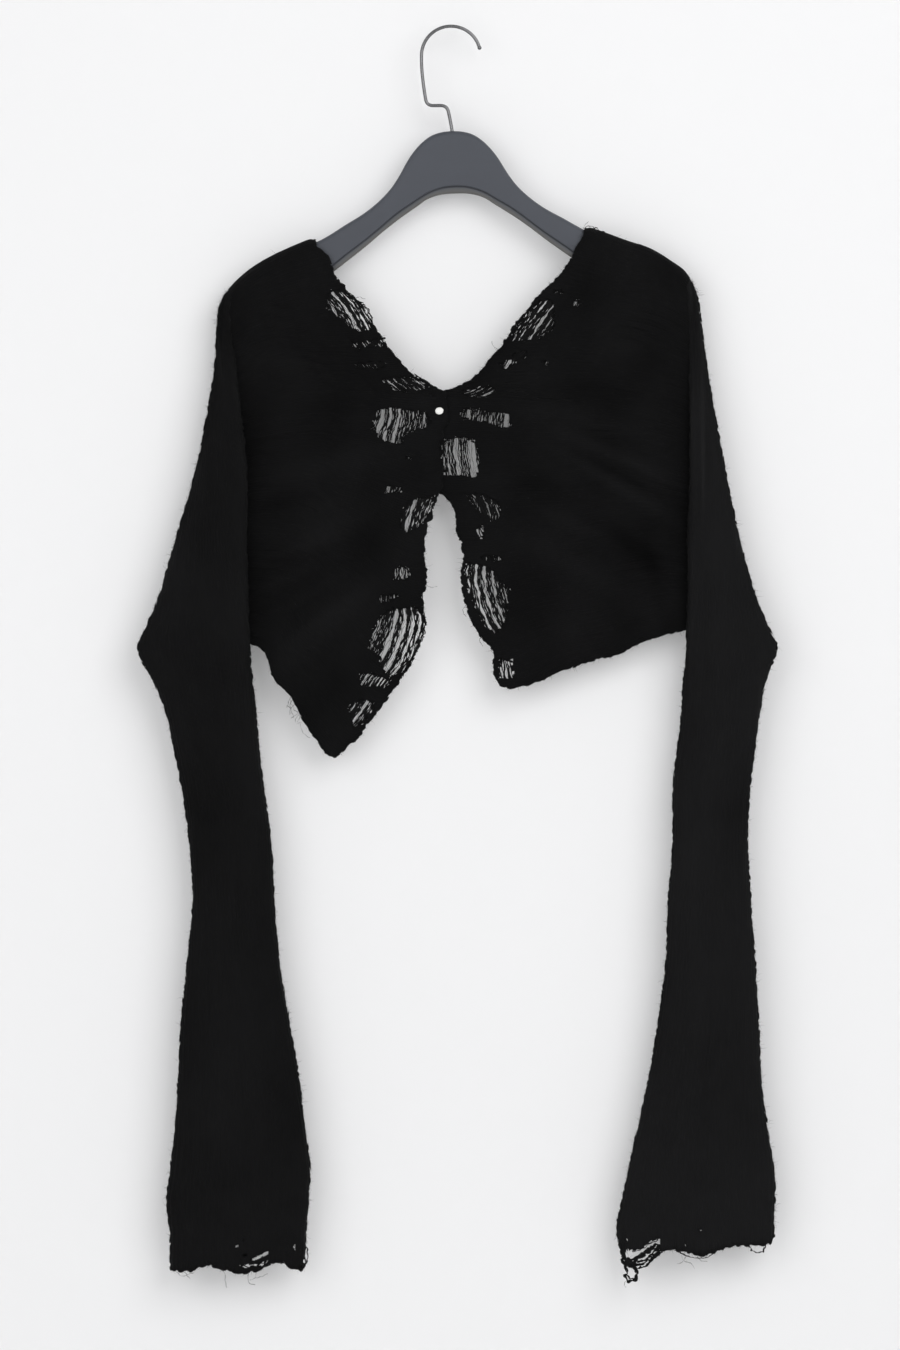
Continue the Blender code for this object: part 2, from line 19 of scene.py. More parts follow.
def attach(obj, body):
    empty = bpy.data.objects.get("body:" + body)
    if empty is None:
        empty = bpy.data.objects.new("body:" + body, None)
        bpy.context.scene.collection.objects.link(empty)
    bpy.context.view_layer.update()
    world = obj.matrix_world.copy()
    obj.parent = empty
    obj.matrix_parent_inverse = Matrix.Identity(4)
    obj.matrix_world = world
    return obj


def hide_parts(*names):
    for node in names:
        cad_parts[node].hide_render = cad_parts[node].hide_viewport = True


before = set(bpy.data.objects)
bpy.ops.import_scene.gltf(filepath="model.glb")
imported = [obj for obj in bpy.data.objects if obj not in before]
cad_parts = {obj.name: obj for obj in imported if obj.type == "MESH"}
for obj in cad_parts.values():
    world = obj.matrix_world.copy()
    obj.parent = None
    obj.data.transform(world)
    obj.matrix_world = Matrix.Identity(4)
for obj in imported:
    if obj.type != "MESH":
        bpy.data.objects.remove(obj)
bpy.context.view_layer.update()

log = logging.getLogger("cardigan")
MM = 0.001
Pair = tuple[float, float]
Triple = tuple[float, float, float]
Array = np.ndarray
Strands = list[tuple[Array, Array]]
Mesh, Piece = bpy.types.Mesh, bpy.types.Object
Node, Socket = bpy.types.Node, bpy.types.NodeSocket

# ---- Sizes shared with the plain solids, in millimetres

OVER_ARM = 8.4
WALL = 2.0
SEAM = 0.3
SLACK = 1.5
SLEEVE_ROOM = 6.6
TUBE_BACK, TUBE_FRONT = -1.5, -20.0
UNDERARM_BACK = -OVER_ARM + 2 * WALL + SEAM
SEAM_A_INSET, SEAM_B_INSET = 14.0, 10.0
LAP, LAP_FROM, LAP_TO = 2.3, 44.0, 20.0
PHOTO_SCALE = 0.9
PHOTO_MIDDLE, PHOTO_TOP = 449.0, 27.0
CLOTH_THICK = 1.5
VIEW_DISTANCE, VIEW_PLANE = 6000.0, -8.0
VIEW_MIDDLE, VIEW_DOWN = 0.9, 583.2


class Side(Enum):
    """A side of the cardigan, as seen from the front."""

    LEFT = "left"
    RIGHT = "right"

    @property
    def sign(self) -> float:
        """Return the sign of X on this side."""
        return -1.0 if self is Side.LEFT else 1.0


# Rows of each sleeve from the shoulder to the cuff: down, outer edge, fold line.
SLEEVE_ROWS = {
    Side.LEFT: [(236.3, 198.2, 194), (238.5, 200.4, 194.8), (243, 203.2, 196), (249, 206, 197.2),
        (257, 208, 198), (266, 208.6, 198), (282, 209, 195.6), (300, 210, 193), (343, 216, 188),
        (404, 229, 182), (472, 249, 182), (516, 262, 181), (540, 272, 180), (559, 280, 179),
        (572, 275, 179), (588, 266, 177), (606, 258, 175), (642, 248, 172), (678, 241, 168),
        (732, 234, 161), (786, 230, 157), (840, 234, 152), (894, 240, 144), (948, 243, 135),
        (1002, 247, 128), (1032, 251, 125), (1056, 254, 127), (1083, 251, 129), (1117, 250, 130)],
    Side.RIGHT: [(226, 216.2, 212.5), (229, 218.4, 213.3), (234, 220.9, 214.2), (242, 223.3, 215.2),
        (254, 225.1, 216.2), (269, 227, 216.8), (285, 229, 216.9), (300, 231, 217), (343, 238, 217),
        (408, 250, 217), (476, 265, 215), (516, 277, 215), (540, 287, 214), (559, 295, 214),
        (572, 291, 213), (588, 284, 211), (606, 281, 210), (642, 276, 207), (678, 272, 203),
        (732, 269, 202), (786, 271, 197), (840, 274, 195), (894, 277, 188), (948, 280, 178),
        (1002, 288, 167), (1032, 293, 161), (1056, 293, 157), (1083, 292, 153), (1105, 292, 152)],
}
UNDERARM_DOWN = 559.0
SHOULDERS = {
    Side.LEFT: [(119, 189), (143, 199), (160, 207), (178, 218), (190, 228), (198, 236.5)],
    Side.RIGHT: [(121, 179), (141, 186), (160, 193), (181, 200), (200, 211.5), (211, 219.5),
        (216, 226)],
}
FRONT_EDGES = {
    Side.LEFT: [(119, 189), (109, 207), (104, 221), (93, 236), (83, 246), (60, 281.5), (53, 291.5),
        (46.5, 298.6), (40, 305.6), (32, 312.4), (24.5, 316.8), (18.5, 321.2), (12.5, 325.2),
        (8, 327.4), (3.5, 329.2), (2, 339), (2, 356), (7, 369), (7, 412), (9, 420), (13, 430),
        (19, 449), (23, 472), (20, 498), (24, 512), (22, 535), (27, 555), (34, 572), (47, 591),
        (58, 607), (74, 629), (90, 647), (98, 654.5)],
    Side.RIGHT: [(121, 179), (111, 206), (103, 220), (88, 235), (76, 248), (63, 264), (53, 278),
        (46, 289), (38, 297), (35, 302), (31.5, 306.8), (25, 313), (20, 317.3), (12, 321.4),
        (3, 325.7), (-6, 328.2), (-14, 330.6), (-17, 340), (-17, 404), (-14.5, 413), (-9, 418.5),
        (-3, 420.5), (1, 427), (6, 440), (7, 454), (12, 464), (13, 480), (11, 493), (13, 510),
        (18, 530), (27, 546), (39, 559), (41, 577), (45, 591), (55, 595)],
}
FRONT_HEMS = {
    Side.LEFT: [(260, 548), (178, 555), (169, 559), (156, 589), (142, 602), (133, 621), (116, 646),
        (110, 654), (104, 657), (98, 654.5)],
    Side.RIGHT: [(276, 548), (208, 543), (188, 549), (172, 554), (157, 562), (135, 569), (103, 578),
        (78, 590), (55, 595)],
}
BACK_EDGES = {
    Side.LEFT: [(119, 189), (122, 215), (121, 268), (104, 292), (98, 340), (96, 410), (88, 480),
        (86, 545)],
    Side.RIGHT: [(121, 179), (123, 205), (122, 256), (100, 284), (92, 330), (84, 410), (80, 480),
        (82, 535)],
}
BACK_HEMS = {
    Side.LEFT: [(262, 541), (180, 546), (86, 545)],
    Side.RIGHT: [(277, 541), (180, 534), (82, 535)],
}


@dataclass(frozen=True)
class Fold:
    """One soft ridge of the cloth, in millimetres."""

    out: float
    down: float
    slope: float
    length: float
    width: float
    height: float

    def lift(self, out: Array, down: Array) -> Array:
        """Return how far the ridge lifts the cloth at the given places."""
        across = (down - self.down) - self.slope * (out - self.out)
        reach = (out - self.out) / self.length
        return self.height * np.exp(-(across / self.width) ** 2 - reach ** 2)


FRONT_FOLDS = {
    Side.LEFT: [
        Fold(105, 392, 0.22, 60, 13, 2.2), Fold(112, 456, 0.48, 58, 14, 2.4),
        Fold(104, 530, 0.75, 46, 13, 2.0), Fold(148, 428, 0.30, 36, 9, -1.6),
        Fold(160, 478, 0.20, 30, 12, -1.8), Fold(70, 352, 0.05, 34, 7, 0.8),
        Fold(138, 492, 0.42, 40, 5, 1.3), Fold(132, 514, 0.55, 36, 5, 1.2),
        Fold(140, 470, 0.30, 38, 5, 1.1), Fold(120, 536, 0.72, 32, 5, 1.0),
        Fold(160, 300, -0.25, 40, 12, 1.2), Fold(130, 340, -0.10, 44, 12, -1.0)],
    Side.RIGHT: [
        Fold(150, 386, 0.43, 58, 8, 3.0), Fold(158, 417, 0.62, 46, 8, 3.0),
        Fold(126, 492, 0.52, 56, 13, 2.0), Fold(150, 402, 0.50, 46, 5, -1.5),
        Fold(166, 470, 0.66, 34, 13, -2.8), Fold(188, 505, 3.0, 14, 34, -2.0),
        Fold(128, 356, 0.22, 48, 8, 1.6), Fold(92, 418, 0.30, 34, 10, -1.2),
        Fold(80, 346, 0.05, 36, 7, 0.8), Fold(112, 448, 0.44, 44, 7, 1.5),
        Fold(160, 290, -0.22, 42, 12, 1.2), Fold(150, 330, 0.10, 40, 10, -1.0)],
}
BACK_FOLDS = [Fold(150, 420, 0.10, 60, 12, 2.0), Fold(170, 350, -0.05, 50, 9, 1.5),
              Fold(140, 490, 0.16, 50, 10, 1.6), Fold(160, 385, 0.05, 50, 7, -1.2),
              Fold(150, 455, 0.12, 50, 7, -1.2), Fold(150, 300, -0.20, 44, 10, 1.4)]
SLEEVE_FOLDS = {
    Side.LEFT: [(0.34, 860, 240, 0.10, 2.2), (0.68, 780, 190, 0.09, 1.8),
        (0.50, 980, 120, 0.05, -1.4), (0.22, 660, 110, 0.07, 1.4), (0.50, 440, 90, 0.12, 1.2),
        (0.84, 1010, 90, 0.05, 1.2), (0.18, 1020, 80, 0.05, -1.2), (0.74, 610, 60, 0.08, -1.2)],
    Side.RIGHT: [(0.30, 820, 230, 0.10, 2.0), (0.62, 900, 210, 0.10, 2.2),
        (0.46, 990, 120, 0.05, -1.4), (0.78, 690, 110, 0.07, 1.4), (0.36, 385, 85, 0.12, 2.0),
        (0.16, 1010, 90, 0.05, 1.2), (0.82, 1000, 80, 0.05, -1.2), (0.60, 610, 60, 0.08, -1.2)],
}
# A sharp upright crease of a sleeve: out, down of its middle, half length, width, height.
SLEEVE_CREASES = {Side.LEFT: (), Side.RIGHT: ((228.0, 352.0, 78.0, 1.7, 0.8),)}


@dataclass(frozen=True)
class Ladder:
    """A run of dropped stitches: its outline in the photograph's places, and its loose yarns.

    The gaps are shares of the way across the run, from the sleeve's side towards the front edge.
    """

    outline: tuple[Pair, ...]
    gaps: tuple[Pair, ...] = ()
    spacing: float = 1.1
    yarn: float = 0.56


LADDERS = {
    Side.LEFT: [
        Ladder(((326, 302), (331, 291), (339, 290), (357, 300), (372, 319), (370, 330), (356, 331),
            (341, 320), (327, 309)), ((0.10, 0.17), (0.28, 0.34), (0.45, 0.60), (0.80, 0.85)),
            1.15),
        Ladder(((351, 340), (355, 340), (360, 350), (356, 352))),
        Ladder(((361, 341), (384, 339), (384, 347), (362, 348)), (), 1.1),
        Ladder(((355, 363), (384, 362), (384, 369), (355, 368)), (), 1.1),
        Ladder(((382, 380), (387, 378), (411, 376), (418, 378), (431, 388), (426, 391), (395, 390)),
            ((0.02, 0.07), (0.12, 0.2), (0.36, 0.41), (0.62, 0.67), (0.8, 0.84)), 1.05, 0.40),
        Ladder(((373, 420), (377, 410), (384, 408), (397, 408), (413, 410), (427, 412), (431, 421),
            (425, 429), (416, 430), (405, 435), (403, 444), (388, 443), (380, 439), (373, 429)),
            ((0.10, 0.19), (0.25, 0.31), (0.41, 0.49), (0.88, 0.92)), 1.2, 0.46),
        Ladder(((405, 456), (412, 456), (411, 460), (406, 460))),
        Ladder(((387, 486), (403, 487), (402, 492), (387, 495)), ((0.0, 0.25),), 1.2),
        Ladder(((399, 526), (402, 514), (410, 500), (422, 498), (434, 496), (428, 517), (419, 527),
            (406, 534)), ((0.24, 0.40), (0.90, 0.96)), 1.1),
        Ladder(((393, 568), (410, 566), (408, 579), (396, 580)), ((0.1, 0.18), (0.5, 0.56)), 1.15,
            0.42),
        Ladder(((379, 596), (397, 594), (396, 599), (380, 604)), (), 1.05),
        Ladder(((389, 609), (414, 607), (424, 615), (422, 638), (410, 662), (405, 673), (389, 678),
            (381, 665), (380, 658), (370, 649), (371, 636), (376, 622)), ((0.02, 0.06),
            (0.33, 0.44), (0.54, 0.66), (0.745, 0.81), (0.89, 0.925)), 1.15, 0.56),
        Ladder(((358, 673), (372, 673), (389, 681), (388, 687), (362, 686)), ((0.2, 0.32),
            (0.7, 0.76)), 1.1),
        Ladder(((349, 708), (357, 701), (376, 702), (374, 710), (363, 722), (354, 730), (352, 722)),
            ((0.42, 0.6),), 1.1)],
    Side.RIGHT: [
        Ladder(((552, 289), (563, 291), (563, 295), (553, 293)), (), 1.1),
        Ladder(((573, 301), (578, 300), (578, 305), (574, 306)), ((0.2, 0.8),)),
        Ladder(((550, 299), (540, 300), (528, 312), (511, 335), (513, 342), (527, 341), (538, 340),
            (554, 330), (555, 308)), ((0.19, 0.25), (0.42, 0.54), (0.73, 0.77), (0.89, 0.92)),
            1.15),
        Ladder(((497, 363), (515, 358), (516, 364), (504, 370)), ((0.3, 0.55),), 1.1),
        Ladder(((513, 353), (527, 351), (527, 357), (514, 359)), (), 1.1),
        Ladder(((541, 361), (547, 361), (546, 365), (542, 364)), ((0.3, 0.7),)),
        Ladder(((461, 390), (473, 388), (493, 386), (494, 391), (486, 397), (466, 396)),
            ((0.02, 0.22), (0.38, 0.44), (0.56, 0.62), (0.74, 0.82)), 1.05, 0.34),
        Ladder(((457, 414), (465, 409), (476, 408), (490, 411), (509, 414), (512, 426), (503, 429),
            (487, 423), (475, 421), (462, 417)), ((0.04, 0.16), (0.79, 0.87)), 1.1, 0.42),
        Ladder(((443, 446), (446, 440), (457, 437), (472, 440), (478, 449), (480, 462), (476, 477),
            (460, 476), (444, 475), (442, 461)), ((0.06, 0.31), (0.56, 0.68), (0.84, 0.88)), 1.15,
            0.42),
        Ladder(((465, 493), (487, 495), (498, 502), (501, 520), (495, 521), (484, 515), (472, 506)),
            ((0.09, 0.17), (0.43, 0.48), (0.73, 0.79)), 1.1),
        Ladder(((476, 527), (482, 527), (485, 538), (480, 538)), ((0.3, 0.6),)),
        Ladder(((480, 556), (500, 555), (502, 561), (482, 559)), (), 1.05),
        Ladder(((464, 562), (482, 564), (494, 570), (502, 584), (509, 590), (506, 620), (498, 633),
            (490, 631), (474, 609), (469, 588), (464, 574)), ((0.06, 0.10), (0.29, 0.36),
            (0.49, 0.56), (0.69, 0.76), (0.90, 0.94)), 1.15, 0.54),
        Ladder(((499, 657), (512, 662), (514, 679), (500, 678)), ((0.08, 0.2), (0.46, 0.54),
            (0.82, 0.9)), 1.15)],
}
# Openings and pinholes of the sleeves, as outlines in the photograph's places.
SLEEVE_HOLES = {
    Side.LEFT: [((250, 1260), (257, 1256), (268, 1251), (269, 1254), (262, 1257), (255, 1261)),
        ((240, 1266), (247, 1264), (257, 1264), (268, 1260), (268, 1262), (262, 1266), (248, 1268),
        (240, 1268)), ((234, 1245), (239, 1244), (239, 1247), (236, 1248)), ((240, 1239),
        (246, 1239), (244, 1241)), ((237, 1255), (247, 1254), (246, 1256)), ((293, 1245),
        (296, 1244), (296, 1250), (294, 1250)), ((303, 1260), (306, 1256), (306, 1263),
        (304, 1265))],
    Side.RIGHT: [((624, 1249), (634, 1250), (642, 1248), (650, 1241), (660, 1238), (660, 1250),
        (652, 1257), (645, 1263), (636, 1265), (633, 1261), (626, 1257)), ((698, 1229), (703, 1229),
        (701, 1232)), ((684, 1244), (687, 1244), (686, 1247)), ((624, 1239), (629, 1239),
        (626, 1241))],
}
# Lower edges of the cuffs in the photograph's places.
CUFF_EDGES = {
    Side.LEFT: [(171, 1269), (178, 1271), (188, 1270), (197, 1267), (207, 1265), (213, 1265),
        (219, 1268), (228, 1270), (234, 1273), (249, 1272), (262, 1270), (269, 1264), (277, 1262),
        (284, 1262), (289, 1266), (296, 1270), (303, 1269), (307, 1262), (308, 1249)],
    Side.RIGHT: [(618, 1235), (622, 1250), (626, 1264), (634, 1266), (641, 1263), (652, 1258),
        (659, 1251), (671, 1249), (683, 1251), (696, 1255), (707, 1255), (718, 1250), (732, 1246),
        (750, 1245), (763, 1245), (771, 1243), (774, 1236)],
}
# Loose strands, in the photograph's places, with their thickness in millimetres.
LOOSE_STRANDS = {
    Side.LEFT: [(0.13, ((222, 1268), (225, 1273), (226, 1279), (227, 1287))), (0.13, ((249, 1270),
        (248, 1276), (250, 1282), (256, 1284))), (0.12, ((250, 1279), (255, 1277), (262, 1276),
        (268, 1272))), (0.12, ((176, 1270), (183, 1275), (190, 1273), (196, 1270))), (0.12,
        ((184, 1270), (190, 1277), (191, 1278))), (0.75, ((235, 1267), (244, 1265), (254, 1266),
        (263, 1262), (271, 1259))), (0.80, ((234, 1271), (245, 1268), (255, 1270), (263, 1266),
        (271, 1263))), (0.60, ((238, 1264), (247, 1268), (256, 1267), (266, 1264), (270, 1261))),
        (0.80, ((290, 1243), (294, 1250), (293, 1258), (297, 1266), (302, 1270))), (0.60,
        ((298, 1242), (300, 1250), (299, 1258), (302, 1264), (305, 1267))), (0.75, ((304, 1242),
        (308, 1249), (308, 1257), (306, 1264), (300, 1269)))],
    Side.RIGHT: [(1.05, ((624, 1258), (625, 1265), (626, 1271), (625, 1276), (628, 1280),
        (632, 1280), (636, 1277), (636, 1271), (634, 1265), (635, 1261))), (0.75, ((626, 1262),
        (626, 1269), (628, 1275), (633, 1279), (636, 1274), (635, 1268))), (1.30, ((620, 1244),
        (622, 1252), (624, 1260), (629, 1265), (634, 1265))), (1.50, ((623, 1256), (632, 1260),
        (640, 1256), (648, 1250), (659, 1244))), (0.90, ((625, 1259), (634, 1257), (642, 1253),
        (650, 1247), (658, 1243))), (0.50, ((632, 1250), (641, 1248), (649, 1243), (659, 1239))),
        (0.95, ((634, 1260), (643, 1259), (651, 1253), (661, 1247))), (1.25, ((628, 1264),
        (637, 1267), (646, 1264), (653, 1258), (661, 1250))), (0.60, ((640, 1264), (647, 1260),
        (654, 1256), (661, 1250))), (0.50, ((674, 1249), (682, 1253), (692, 1256), (704, 1257),
        (713, 1253))), (0.13, ((680, 1254), (684, 1260), (690, 1262), (694, 1268))), (0.13,
        ((697, 1256), (702, 1260), (706, 1260))), (0.12, ((686, 1256), (680, 1262), (677, 1263))),
        (0.13, ((773, 1193), (777, 1194))), (0.13, ((628, 1278), (624, 1284), (626, 1287))), (0.60,
        ((749, 1243), (751, 1249), (757, 1252), (763, 1250), (765, 1243)))],
}
FRONT_STRANDS = {
    Side.LEFT: [(0.13, ((290, 700), (294, 709), (300, 716), (297, 722))), (0.12, ((288, 706),
        (292, 711), (293, 718))), (0.12, ((322, 744), (327, 754), (336, 757))), (0.13, ((424, 583),
        (431, 587), (437, 586))), (0.12, ((352, 301), (359, 297), (365, 299))), (0.12, ((300, 724),
        (303, 733), (310, 738))), (0.14, ((292, 694), (289, 701), (287, 708))), (0.14, ((294, 697),
        (290, 705), (291, 711))), (0.13, ((297, 703), (291, 709), (290, 715))), (0.14, ((300, 708),
        (296, 715), (291, 718))), (0.13, ((303, 712), (297, 717), (295, 722))), (0.12, ((306, 716),
        (301, 722), (296, 724))), (0.30, ((293, 693), (297, 705), (303, 714), (309, 722)))],
    Side.RIGHT: [(0.40, ((584, 231), (587, 226), (592, 226), (594, 230), (590, 233))), (0.34,
        ((590, 231), (596, 228), (600, 231), (605, 232))), (0.13, ((583, 229), (586, 223),
        (589, 222))), (0.13, ((468, 603), (463, 610), (466, 617))), (0.13, ((468, 612), (475, 624),
        (471, 627))), (0.12, ((488, 634), (480, 640), (483, 646))), (0.12, ((500, 350), (493, 346),
        (492, 341))), (0.12, ((686, 600), (690, 606), (689, 612)))],
}


# ---- Curves and fields

class Line:
    """A smooth line through places, read by the share of its length."""

    def __init__(self, points: Sequence[Pair]) -> None:
        """Fit the line.

        Args:
            points: places in millimetres, in order.
        """
        places = np.array(points, dtype=float)
        steps = np.hypot(*np.diff(places, axis=0).T)
        run = np.concatenate(([0.0], np.cumsum(steps)))
        slopes = np.gradient(places, run, axis=0)
        fine = np.linspace(0.0, run[-1], 40 * len(places))
        cell = np.clip(np.searchsorted(run, fine, side="right") - 1, 0, len(steps) - 1)
        span = steps[cell][:, None]
        t = ((fine - run[cell]) / steps[cell])[:, None]
        self.points = ((2 * t ** 3 - 3 * t ** 2 + 1) * places[cell]
                       + (t ** 3 - 2 * t ** 2 + t) * span * slopes[cell]
                       + (3 * t ** 2 - 2 * t ** 3) * places[cell + 1]
                       + (t ** 3 - t ** 2) * span * slopes[cell + 1])
        pieces = np.hypot(*np.diff(self.points, axis=0).T)
        self.length = float(pieces.sum())
        self.run = np.concatenate(([0.0], np.cumsum(pieces))) / self.length

    def at(self, shares: Array) -> Array:
        """Return the places at the given shares of the length."""
        return np.stack([np.interp(shares, self.run, self.points[:, i]) for i in (0, 1)], axis=-1)


class Waves:
    """A smooth, seeded random field between about -1 and 1, made of plane waves."""

    def __init__(self, seed: int, reach: float, count: int = 9) -> None:
        """Draw the waves.

        Args:
            seed: the random seed.
            reach: the usual wavelength.
            count: how many waves are summed.
        """
        draw = np.random.default_rng(seed)
        turns = draw.uniform(0.0, 2.0 * math.pi, count)
        pace = 2.0 * math.pi / (reach * draw.uniform(0.7, 1.5, count))
        self.pace = np.stack([np.cos(turns) * pace, np.sin(turns) * pace])
        self.start = draw.uniform(0.0, 2.0 * math.pi, count)
        self.share = 1.4 / math.sqrt(count)

    def at(self, u: Array, v: Array) -> Array:
        """Return the field at the given places."""
        u, v = np.broadcast_arrays(np.asarray(u, dtype=float), np.asarray(v, dtype=float))
        phase = u[..., None] * self.pace[0] + v[..., None] * self.pace[1] + self.start
        return self.share * np.sin(phase).sum(axis=-1)


def ease(value: Array, low: float, high: float) -> Array:
    """Return a smooth step from 0 at low to 1 at high."""
    share = np.clip((np.asarray(value, dtype=float) - low) / (high - low), 0.0, 1.0)
    return share * share * (3.0 - 2.0 * share)


def from_photo(places: Sequence[Pair]) -> Array:
    """Return X and down in millimetres for places read off the photograph."""
    grid = np.array(places, dtype=float)
    return (grid - (PHOTO_MIDDLE, PHOTO_TOP)) * PHOTO_SCALE


def as_seen(points: Array) -> tuple[Array, Array]:
    """Return X and down at which the camera sees places, on the plane of the front."""
    grow_by = VIEW_DISTANCE / (VIEW_DISTANCE + points[..., 1] - VIEW_PLANE)
    return (VIEW_MIDDLE + (points[..., 0] - VIEW_MIDDLE) * grow_by,
            VIEW_DOWN - (points[..., 2] + VIEW_DOWN) * grow_by)


def inside(outline: Array, x: Array, down: Array) -> Array:
    """Return which places lie inside a closed outline.

    Args:
        outline: the outline's corners.
        x: first coordinate of the places.
        down: second coordinate of the places.

    Returns:
        A mask of the places' shape.
    """
    held = np.zeros(np.shape(x), dtype=bool)
    for (x0, d0), (x1, d1) in zip(outline, np.roll(outline, -1, axis=0)):
        if d0 == d1:
            continue
        crosses = (d0 > down) != (d1 > down)
        held ^= crosses & (x < (x1 - x0) * (down - d0) / (d1 - d0) + x0)
    return held


def row_at(side: Side, down: Array) -> tuple[Array, Array]:
    """Return the outer edge and the fold line of a sleeve at the given heights."""
    rows = np.array(SLEEVE_ROWS[side], dtype=float)
    line_outer = Line([(row[1], row[0]) for row in rows]).points
    line_fold = Line([(row[2], row[0]) for row in rows]).points
    return (np.interp(down, line_outer[:, 1], line_outer[:, 0]),
            np.interp(down, line_fold[:, 1], line_fold[:, 0]))


# ---- Node trees

class Number:
    """One number socket of a shader tree, with arithmetic that adds Math nodes."""

    def __init__(self, tree: "Tree", socket: Any) -> None:
        """Wrap a socket of a tree."""
        self.tree, self.socket = tree, socket

    def _math(self, operation: str, first: Any, second: Any) -> "Number":
        """Add a Math node and return its result."""
        made = self.tree.add("ShaderNodeMath", {"operation": operation}, {0: first, 1: second})
        return Number(self.tree, made.outputs[0])

    def __add__(self, other: Any) -> "Number":
        """Return self + other."""
        return self._math("ADD", self, other)

    __radd__ = __add__

    def __mul__(self, other: Any) -> "Number":
        """Return self * other."""
        return self._math("MULTIPLY", self, other)

    __rmul__ = __mul__

    def __sub__(self, other: Any) -> "Number":
        """Return self - other."""
        return self._math("SUBTRACT", self, other)

    def __rsub__(self, other: Any) -> "Number":
        """Return other - self."""
        return self._math("SUBTRACT", other, self)

    def __pow__(self, other: Any) -> "Number":
        """Return self to the power of other."""
        return self._math("POWER", self, other)

    def apply(self, operation: str, second: float = 0.0) -> "Number":
        """Return the result of a named Math operation."""
        return self._math(operation, self, second)


class Tree:
    """A node tree that is built in code."""

    def __init__(self, nodes: bpy.types.NodeTree) -> None:
        """Wrap an empty tree."""
        self.tree = nodes

    def add(self, kind: str, settings: dict[str, Any] | None = None,
            sockets: dict[Any, Any] | None = None) -> Node:
        """Add one node.

        Args:
            kind: the node's type.
            settings: properties of the node, set before its sockets.
            sockets: values or links by input name or number.

        Returns:
            The new node.
        """
        node = self.tree.nodes.new(kind)
        for name, value in (settings or {}).items():
            setattr(node, name, value)
        for name, value in (sockets or {}).items():
            if isinstance(value, Number):
                value = value.socket
            if isinstance(value, Socket):
                self.tree.links.new(value, node.inputs[name])
            else:
                node.inputs[name].default_value = value
        return node

    def number(self, kind: str, output: Any, settings: dict[str, Any] | None = None,
               sockets: dict[Any, Any] | None = None) -> Number:
        """Add a node and return one of its outputs as a number."""
        return Number(self, self.add(kind, settings, sockets).outputs[output])

    def noise(self, place: Any, scale: float, detail: float,
              stretch: Triple | None = None, twist: float = 0.0) -> Number:
        """Add a noise and return its factor.

        Args:
            place: the socket of its places.
            scale: how fine it is.
            detail: its octaves.
            stretch: how much the places are stretched first, or None.
            twist: its distortion.

        Returns:
            The noise, about 0 to 1.
        """
        if stretch is not None:
            place = self.add("ShaderNodeMapping", None, {
                "Vector": place, "Scale": stretch}).outputs[0]
        return self.number("ShaderNodeTexNoise", "Fac", None, {
            "Vector": place, "Scale": scale, "Detail": detail, "Distortion": twist})

    def attribute(self, name: str) -> Number:
        """Return a number that the mesh carries."""
        return self.number("ShaderNodeAttribute", "Fac", {"attribute_name": name})

    def own_place(self) -> Socket:
        """Return the socket of the object's own coordinates."""
        return self.add("ShaderNodeTexCoord").outputs["Object"]


@dataclass(frozen=True)
class Finish:
    """A finish: a Principled shader with its pattern. Subclasses add the pattern."""

    name: str
    colour: Triple
    roughness: float
    metallic: float = 0.0
    specular: float = 0.5
    sheen: float = 0.0
    coat: float = 0.0

    def make(self) -> bpy.types.Material:
        """Return the material."""
        material = bpy.data.materials.new(self.name)
        material.use_nodes = True
        material.node_tree.nodes.clear()
        tree = Tree(material.node_tree)
        shader = tree.add("ShaderNodeBsdfPrincipled", None, {
            "Base Color": (*self.colour, 1.0), "Roughness": self.roughness,
            "Metallic": self.metallic, "Specular IOR Level": self.specular,
            "Sheen Weight": self.sheen, "Sheen Roughness": 0.35, "Coat Weight": self.coat,
            "Coat Roughness": 0.08})
        tree.add("ShaderNodeOutputMaterial", None, {"Surface": shader.outputs[0]})
        self.dress(tree, shader)
        material.diffuse_color = (*self.colour, 1.0)
        return material

    def dress(self, tree: Tree, shader: Node) -> None:
        """Add the finish's own pattern to the shader."""

    def times(self, share: float) -> list[float]:
        """Return the finish's colour, darkened or lightened."""
        return [part * share for part in self.colour]

    def tint(self, tree: Tree, shader: Node, factor: Number, low: Any,
             high: Sequence[float]) -> Socket:
        """Mix the base colour by a factor.

        Args:
            tree: the material's tree.
            shader: the shader that takes the colour.
            factor: 0 for the first colour and 1 for the second.
            low: the first colour, or a socket that gives it.
            high: the second colour.

        Returns:
            The socket of the mixed colour.
        """
        first = low if isinstance(low, Socket) else (*low, 1.0)
        mixed = tree.add("ShaderNodeMix", {"data_type": "RGBA"}, {
            0: factor, 6: first, 7: (*high, 1.0)}).outputs[2]
        tree.tree.links.new(mixed, shader.inputs["Base Color"])
        return mixed

    def bump(self, tree: Tree, shader: Node, height: Number, depth: float,
             strength: float = 1.0) -> None:
        """Feed a height in units of depth to the shader's normal."""
        made = tree.add("ShaderNodeBump", None, {
            "Height": height, "Distance": depth, "Strength": strength})
        tree.tree.links.new(made.outputs[0], shader.inputs["Normal"])


